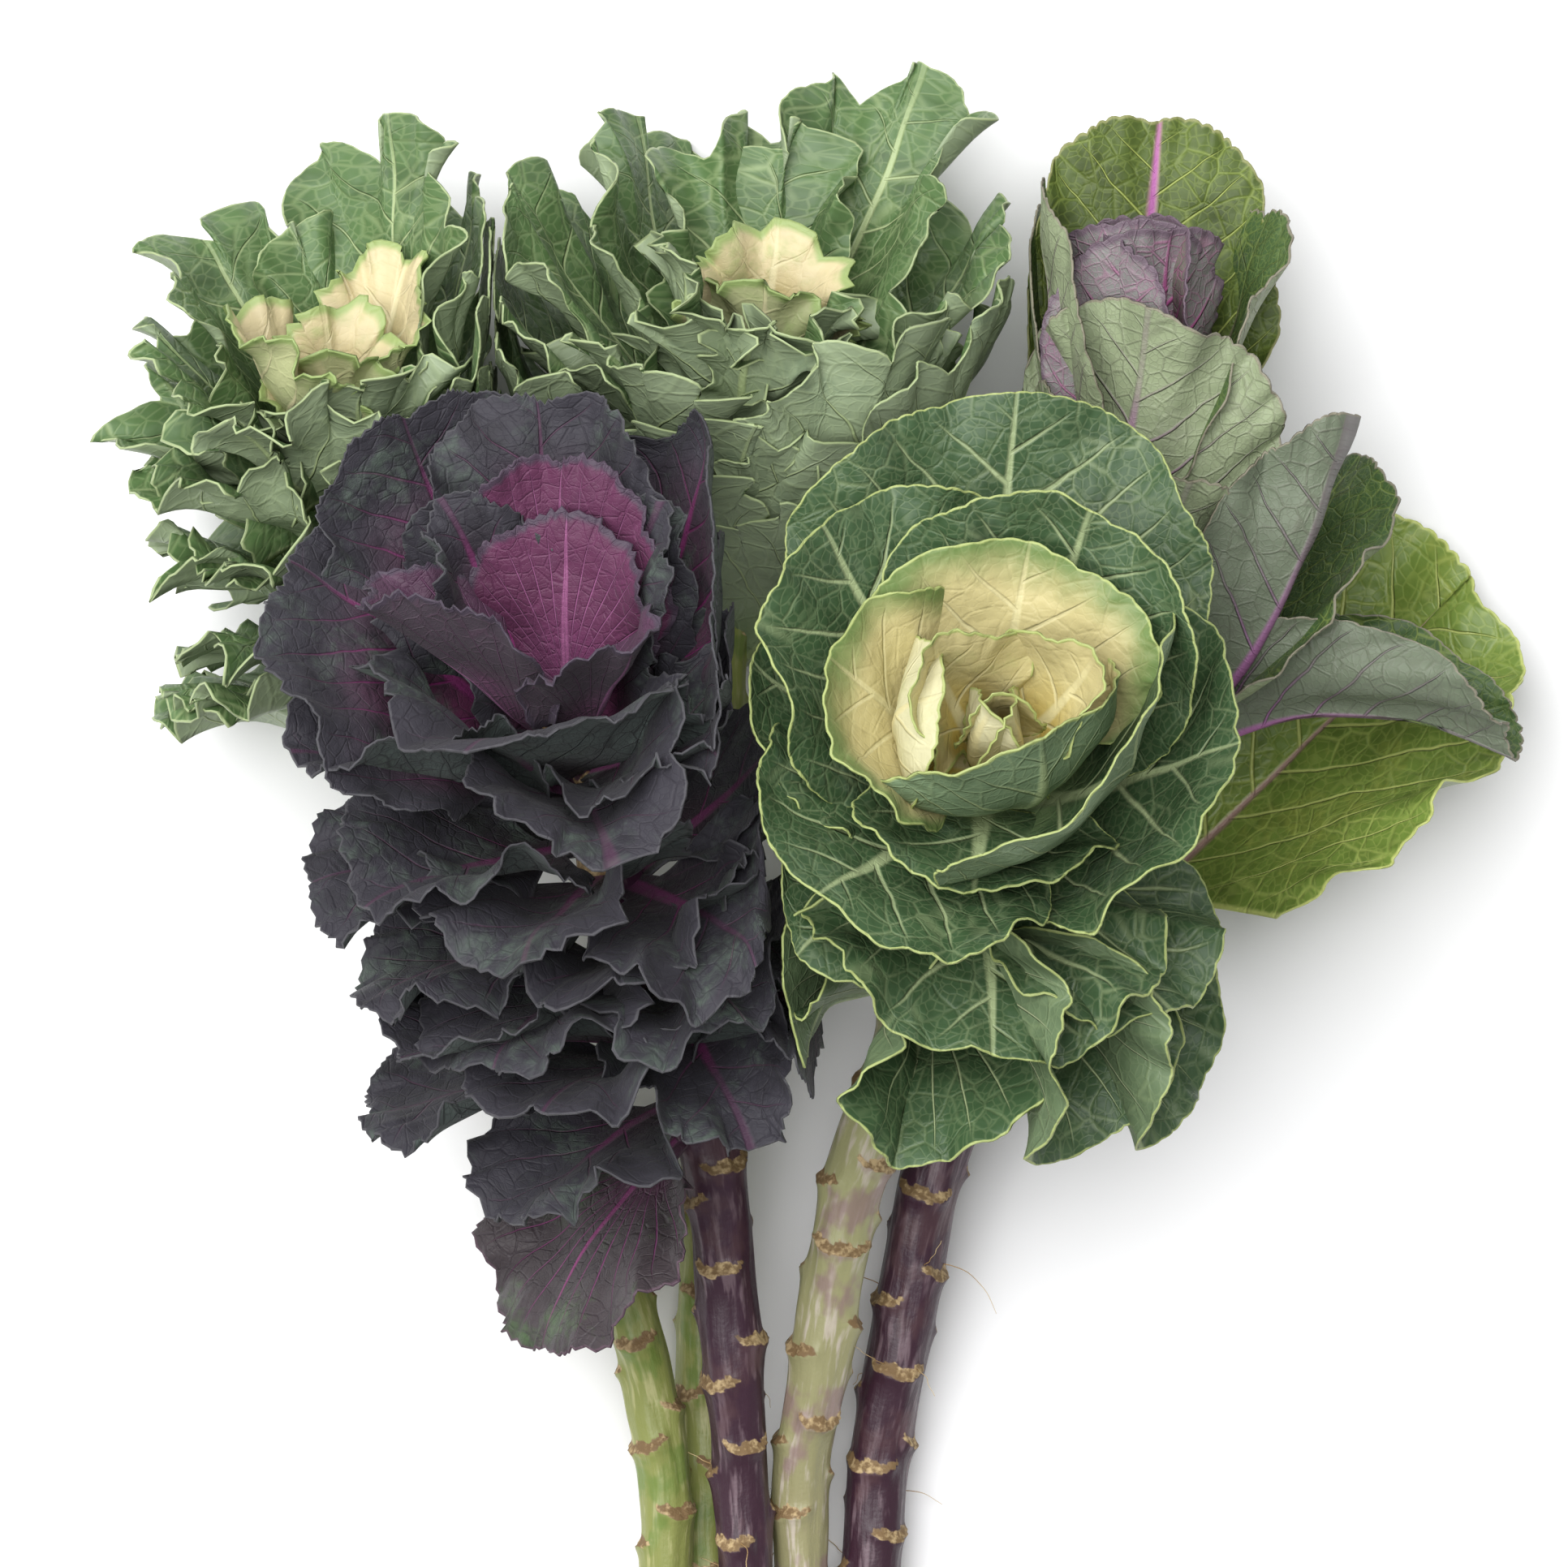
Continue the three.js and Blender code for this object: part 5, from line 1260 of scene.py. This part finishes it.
class KALE_OT_cream_head(bpy.types.Operator):
    """Make the smooth green head with its cream heart"""
    bl_idname = "kale.cream_head"
    bl_label = "Cream Head"

    def execute(self, context):
        settings = context.scene.kale_cream
        leaves = leaf_material("smooth_green_leaves", look(
            settings.inner, settings.outer, settings.vein,
            rim=tuple(settings.rim), foot_colour=(0.19, 0.27, 0.12), outer_foot_colour=(0.30, 0.38, 0.21),
            foot=(-0.1, 0.28), midrib=1.3, vein_width=1.15, vein_reach=(0.5, 1.2), net=(0.32, 0.3), cell=8,
            pitch=16, slope=0.7, rim_width=0.4, rough=0.46, mottle=0.6, mottle_colour=(0.100, 0.148, 0.090),
        ))
        wrap = leaf_material("cream_wrap", look(
            settings.heart, settings.outer, settings.vein,
            rim=tuple(settings.rim), foot_colour=tuple(settings.bud), outer_foot_colour=(0.38, 0.42, 0.24),
            midrib=1.4, net=(0.05, 0.3), cell=8, pitch=14, shade=0.0, rough=0.48,
        ))
        heart = leaf_material("cream_heart", look(
            settings.heart, (0.57, 0.545, 0.345), (0.61, 0.55, 0.30),
            rim=(0.32, 0.38, 0.12), foot_colour=tuple(settings.bud), outer_foot_colour=(0.52, 0.46, 0.22),
            mottle_colour=(0.30, 0.36, 0.12), mottle=0.4, shade=0.0, foot=(0.0, 0.6), net=(0.08, 0.08),
            cell=8, rim_width=0.7, rough=0.45, relief=0.5,
        ))
        wall = leaf_material("cream_wall", look(
            (0.13, 0.20, 0.06), (0.17, 0.24, 0.12), (0.58, 0.53, 0.29),
            rim=tuple(settings.rim), foot_colour=tuple(settings.heart), outer_foot_colour=(0.30, 0.36, 0.20),
            foot=(0.70, 1.0), shade=0.0, net=(0.12, 0.3), cell=8, pitch=14, slope=0.7, rim_width=0.5,
            rough=0.46, relief=0.6,
        ))
        drooping = leaf_material("drooping_green_leaves", look(
            settings.inner, (0.120, 0.172, 0.090), settings.vein,
            rim=tuple(settings.rim), foot_colour=(0.10, 0.16, 0.07), outer_foot_colour=(0.22, 0.29, 0.16),
            outer_vein=(0.33, 0.38, 0.22), net_colour=(0.27, 0.34, 0.17), fan=7, vein_width=0.7,
            vein_reach=(0.6, 1.3), net=(0.35, 0.25), cell=8, rim_width=0.45, rough=0.46, mottle=0.6,
            mottle_colour=(0.075, 0.125, 0.055),
        ))
        place = ("smooth_green_leaves", "cream_leaves")
        add_leaves("cream_outer_leaves", "cream", "leaves", (*range(7), 16), leaves, *place)
        add_leaves("cream_collar_leaves", "cream", "leaves", (7, 8, 9, 14), leaves, *place)
        add_leaves("cream_drooping_leaves", "cream", "leaves", (10, 11, 12, 13, 15), drooping, *place)
        place = ("cream_heart", "cream_heart")
        add_leaves("cream_heart_cup", "cream", "heart", (0, 1, 2, 3, 7, 8), heart, *place)
        add_leaves("cream_heart_wall", "cream", "heart", (4, 5), wall, *place)
        add_leaves("cream_wrapping_leaf", "cream", "heart", (6,), wrap, *place)
        return {"FINISHED"}


class KALE_OT_tall_head(bpy.types.Operator):
    """Make the tall grey-green head with purple veins"""
    bl_idname = "kale.tall_head"
    bl_label = "Tall Head"

    def execute(self, context):
        settings = context.scene.kale_tall
        grey = {
            "outer_vein": tuple(settings.vein), "foot_colour": (0.07, 0.08, 0.04),
            "net_colour": (0.26, 0.33, 0.08), "outer_net_colour": (0.12, 0.11, 0.09),
            "rim": (0.22, 0.20, 0.15), "foot": (-0.2, 0.3), "midrib_colour": (0.34, 0.13, 0.30),
            "vein_width": 0.55, "vein_reach": (0.1, 0.75), "net": (0.5, 0.35), "cell": 5.5, "rim_width": 0.6,
        }
        leaves = leaf_material("grey_green_leaves", look(
            settings.inner, settings.outer, (0.30, 0.36, 0.10), outer_foot_colour=(0.24, 0.19, 0.22),
            mottle_colour=(0.19, 0.17, 0.16), mottle=0.3, **grey,
        ))
        # Painted shade: the low leaves take darker copies of the outer face, its foot and the mottle of the
        # grey-green leaves.
        shaded = leaf_material("shaded_grey_leaves", look(
            settings.inner, (0.140, 0.170, 0.115), (0.30, 0.36, 0.10), outer_foot_colour=(0.17, 0.12, 0.16),
            mottle_colour=(0.105, 0.115, 0.085), mottle=0.6, **grey,
        ))
        bright = leaf_material("bright_green_leaf", look(
            settings.bright, settings.outer, (0.50, 0.56, 0.17),
            midrib_colour=(0.40, 0.26, 0.22), midrib=0.8, net_colour=(0.42, 0.50, 0.13), net=(0.7, 0.3),
            cell=10, outer_vein=tuple(settings.vein), outer_net_colour=(0.12, 0.11, 0.09), vein_width=0.8,
            pitch=17, vein_reach=(0.7, 1.4), shade=0.7, rough=0.42, gloss=0.45, mottle=0.6,
            mottle_colour=(0.33, 0.36, 0.07),
        ))
        heart = leaf_material("purple_tinged_heart", look(
            settings.heart, (0.20, 0.20, 0.19), (0.42, 0.08, 0.27),
            foot_colour=(0.28, 0.10, 0.18), outer_foot_colour=(0.26, 0.14, 0.20), rim=(0.13, 0.09, 0.12),
            mottle_colour=(0.17, 0.09, 0.14), mottle=0.5, net=(0.5, 0.4), cell=4, rim_width=2.2,
        ))
        # Painted shade: the leaf behind the head, under it, takes the bright leaf's colour at 0.42 of its
        # strength.
        back = leaf_material("shaded_back_green_leaf", look(
            [0.42 * value for value in settings.bright], settings.outer, (0.30, 0.36, 0.09),
            midrib_colour=(0.36, 0.10, 0.30), midrib=1.9, vein_reach=(0.8, 1.4),
            net_colour=(0.26, 0.33, 0.07), net=(0.5, 0.3), cell=8, outer_vein=tuple(settings.vein),
            outer_net_colour=(0.12, 0.11, 0.09), vein_width=0.6, foot=(0.0, 0.6),
            foot_colour=(0.10, 0.05, 0.06), rim=(0.24, 0.25, 0.10), shade=0.8,
        ))
        place = ("grey_green_leaves", "tall_leaves")
        add_leaves("tall_back_leaf", "tall", "leaves", (0,), back, *place)
        add_leaves("tall_upper_leaves", "tall", "leaves", (1, 2, 4, 5, 6, 7), leaves, *place)
        add_leaves("tall_bright_leaf", "tall", "leaves", (8,), bright, *place)
        add_leaves("tall_low_leaves", "tall", "leaves", (3, 9, 10, 11), shaded, *place)
        add_leaves("tall_side_leaves", "tall", "leaves", (12, 13), leaves, *place)
        place = ("purple_tinged_heart", "tall_heart")
        add_leaves("tall_heart_leaves", "tall", "heart", range(4), heart, *place)
        return {"FINISHED"}


class KALE_OT_frilled_heads(bpy.types.Operator):
    """Make the two frilled green heads"""
    bl_idname = "kale.frilled_heads"
    bl_label = "Frilled Heads"

    def execute(self, context):
        settings = context.scene.kale_frilled
        leaves = leaf_material("frilled_green_leaves", look(
            settings.inner, settings.outer, settings.vein,
            rim=tuple(settings.rim), foot_colour=(0.14, 0.24, 0.08), outer_foot_colour=(0.28, 0.37, 0.20),
            net=(0.45, 0.25), cell=8.5, pitch=15, midrib=0.7, vein_width=0.6, vein_reach=(0.4, 1.1),
            rim_width=0.38, slope=0.7, rough=0.46, mottle=0.6, shade=0.8,
            mottle_colour=(0.145, 0.200, 0.125),
        ))
        heart = leaf_material("frilled_cream_heart", look(
            settings.heart, (0.40, 0.42, 0.22), (0.62, 0.56, 0.34),
            rim=(0.24, 0.33, 0.11), mottle_colour=(0.25, 0.34, 0.11), mottle=0.6, shade=0.3, net=(0.1, 0.1),
            foot_colour=(0.42, 0.34, 0.12), foot=(0.1, 0.8), cell=6, rim_width=2.0, rough=0.45, relief=0.5,
        ))
        for kale_name in ("frilledLeft", "frilledMiddle"):
            count = len(KALES[kale_name]["leaves"])
            half = count // 2
            place = ("frilled_green_leaves", kale_name + "_leaves")
            add_leaves(kale_name + "_upper_leaves", kale_name, "leaves", range(half), leaves, *place)
            add_leaves(kale_name + "_lower_leaves", kale_name, "leaves", range(half, count), leaves, *place)
            hearts = range(len(KALES[kale_name]["heart"]))
            place = ("cream_heart", kale_name + "_heart")
            add_leaves(kale_name + "_heart_leaves", kale_name, "heart", hearts, heart, *place)
        return {"FINISHED"}


class KALE_OT_stage(bpy.types.Operator):
    """Set the pale floor, the soft light and the camera that looks straight down"""
    bl_idname = "kale.stage"
    bl_label = "Stage"

    def execute(self, context):
        settings = context.scene.kale_stage
        scene = context.scene
        bpy.ops.mesh.primitive_plane_add(size=settings.floor_size)
        floor = context.object
        floor.name = "floor"
        finish = Finish("plain_pale_floor")
        finish.fill(finish.shader, {"Base Color": (*settings.floor, 1), "Roughness": 0.9})
        floor.data.materials.append(finish.material)
        world = bpy.data.worlds.new("studio")
        world.use_nodes = True
        background = world.node_tree.nodes["Background"]
        background.inputs["Color"].default_value = (1, 1, 1, 1)
        background.inputs["Strength"].default_value = settings.fill
        scene.world = world
        key = bpy.data.lights.new("key", "AREA")
        key.energy = settings.key_power
        key.size = settings.key_size
        lamp = bpy.data.objects.new("key", key)
        lamp.location = settings.key_place
        lamp.rotation_mode = "QUATERNION"
        away = Vector(settings.key_place) - Vector(settings.key_target)
        lamp.rotation_quaternion = away.to_track_quat("Z", "Y")
        camera = bpy.data.cameras.new("camera")
        camera.sensor_width = SENSOR_WIDTH
        camera.lens = LENS
        eye = bpy.data.objects.new("camera", camera)
        middle = -ORIGIN * MM
        eye.location = (middle[0], middle[1], settings.camera_height)
        for thing in (lamp, eye):
            scene.collection.objects.link(thing)
        scene.camera = eye
        scene.view_settings.view_transform = "Standard"
        return {"FINISHED"}


class KALE_PT_panel(bpy.types.Panel):
    """Lists the steps of the bunch, each with the settings it reads"""
    bl_idname = "KALE_PT_panel"
    bl_label = "Purple Kale Bunch"
    bl_space_type = "VIEW_3D"
    bl_region_type = "UI"
    bl_category = "Kale"

    def draw(self, context):
        for operator, group_name in STEPS:
            box = self.layout.box()
            box.operator(operator.bl_idname)
            group = getattr(context.scene, group_name)
            for name in group.bl_rna.properties.keys():
                if name not in ("rna_type", "name"):
                    box.prop(group, name)


GROUPS = {
    "kale_blades": BladeSettings,
    "kale_stems": StemSettings,
    "kale_purple": PurpleHeadSettings,
    "kale_cream": CreamHeadSettings,
    "kale_tall": TallHeadSettings,
    "kale_frilled": FrilledHeadSettings,
    "kale_stage": StageSettings,
}
STEPS = (
    (KALE_OT_stage, "kale_stage"),
    (KALE_OT_stems, "kale_stems"),
    (KALE_OT_purple_head, "kale_purple"),
    (KALE_OT_cream_head, "kale_cream"),
    (KALE_OT_tall_head, "kale_tall"),
    (KALE_OT_frilled_heads, "kale_frilled"),
)
CLASSES = (*GROUPS.values(), *(operator for operator, _ in STEPS), KALE_PT_panel)


def register():
    for kind in CLASSES:
        bpy.utils.register_class(kind)
    for name, group in GROUPS.items():
        setattr(bpy.types.Scene, name, bpy.props.PointerProperty(type=group))


def unregister():
    for name in GROUPS:
        delattr(bpy.types.Scene, name)
    for kind in reversed(CLASSES):
        bpy.utils.unregister_class(kind)


def main():
    register()
    for operator, _ in STEPS:
        step = getattr(bpy.ops.kale, operator.bl_idname.split(".")[1])
        step()
    bpy.context.view_layer.update()


if __name__ == "__main__":
    main()
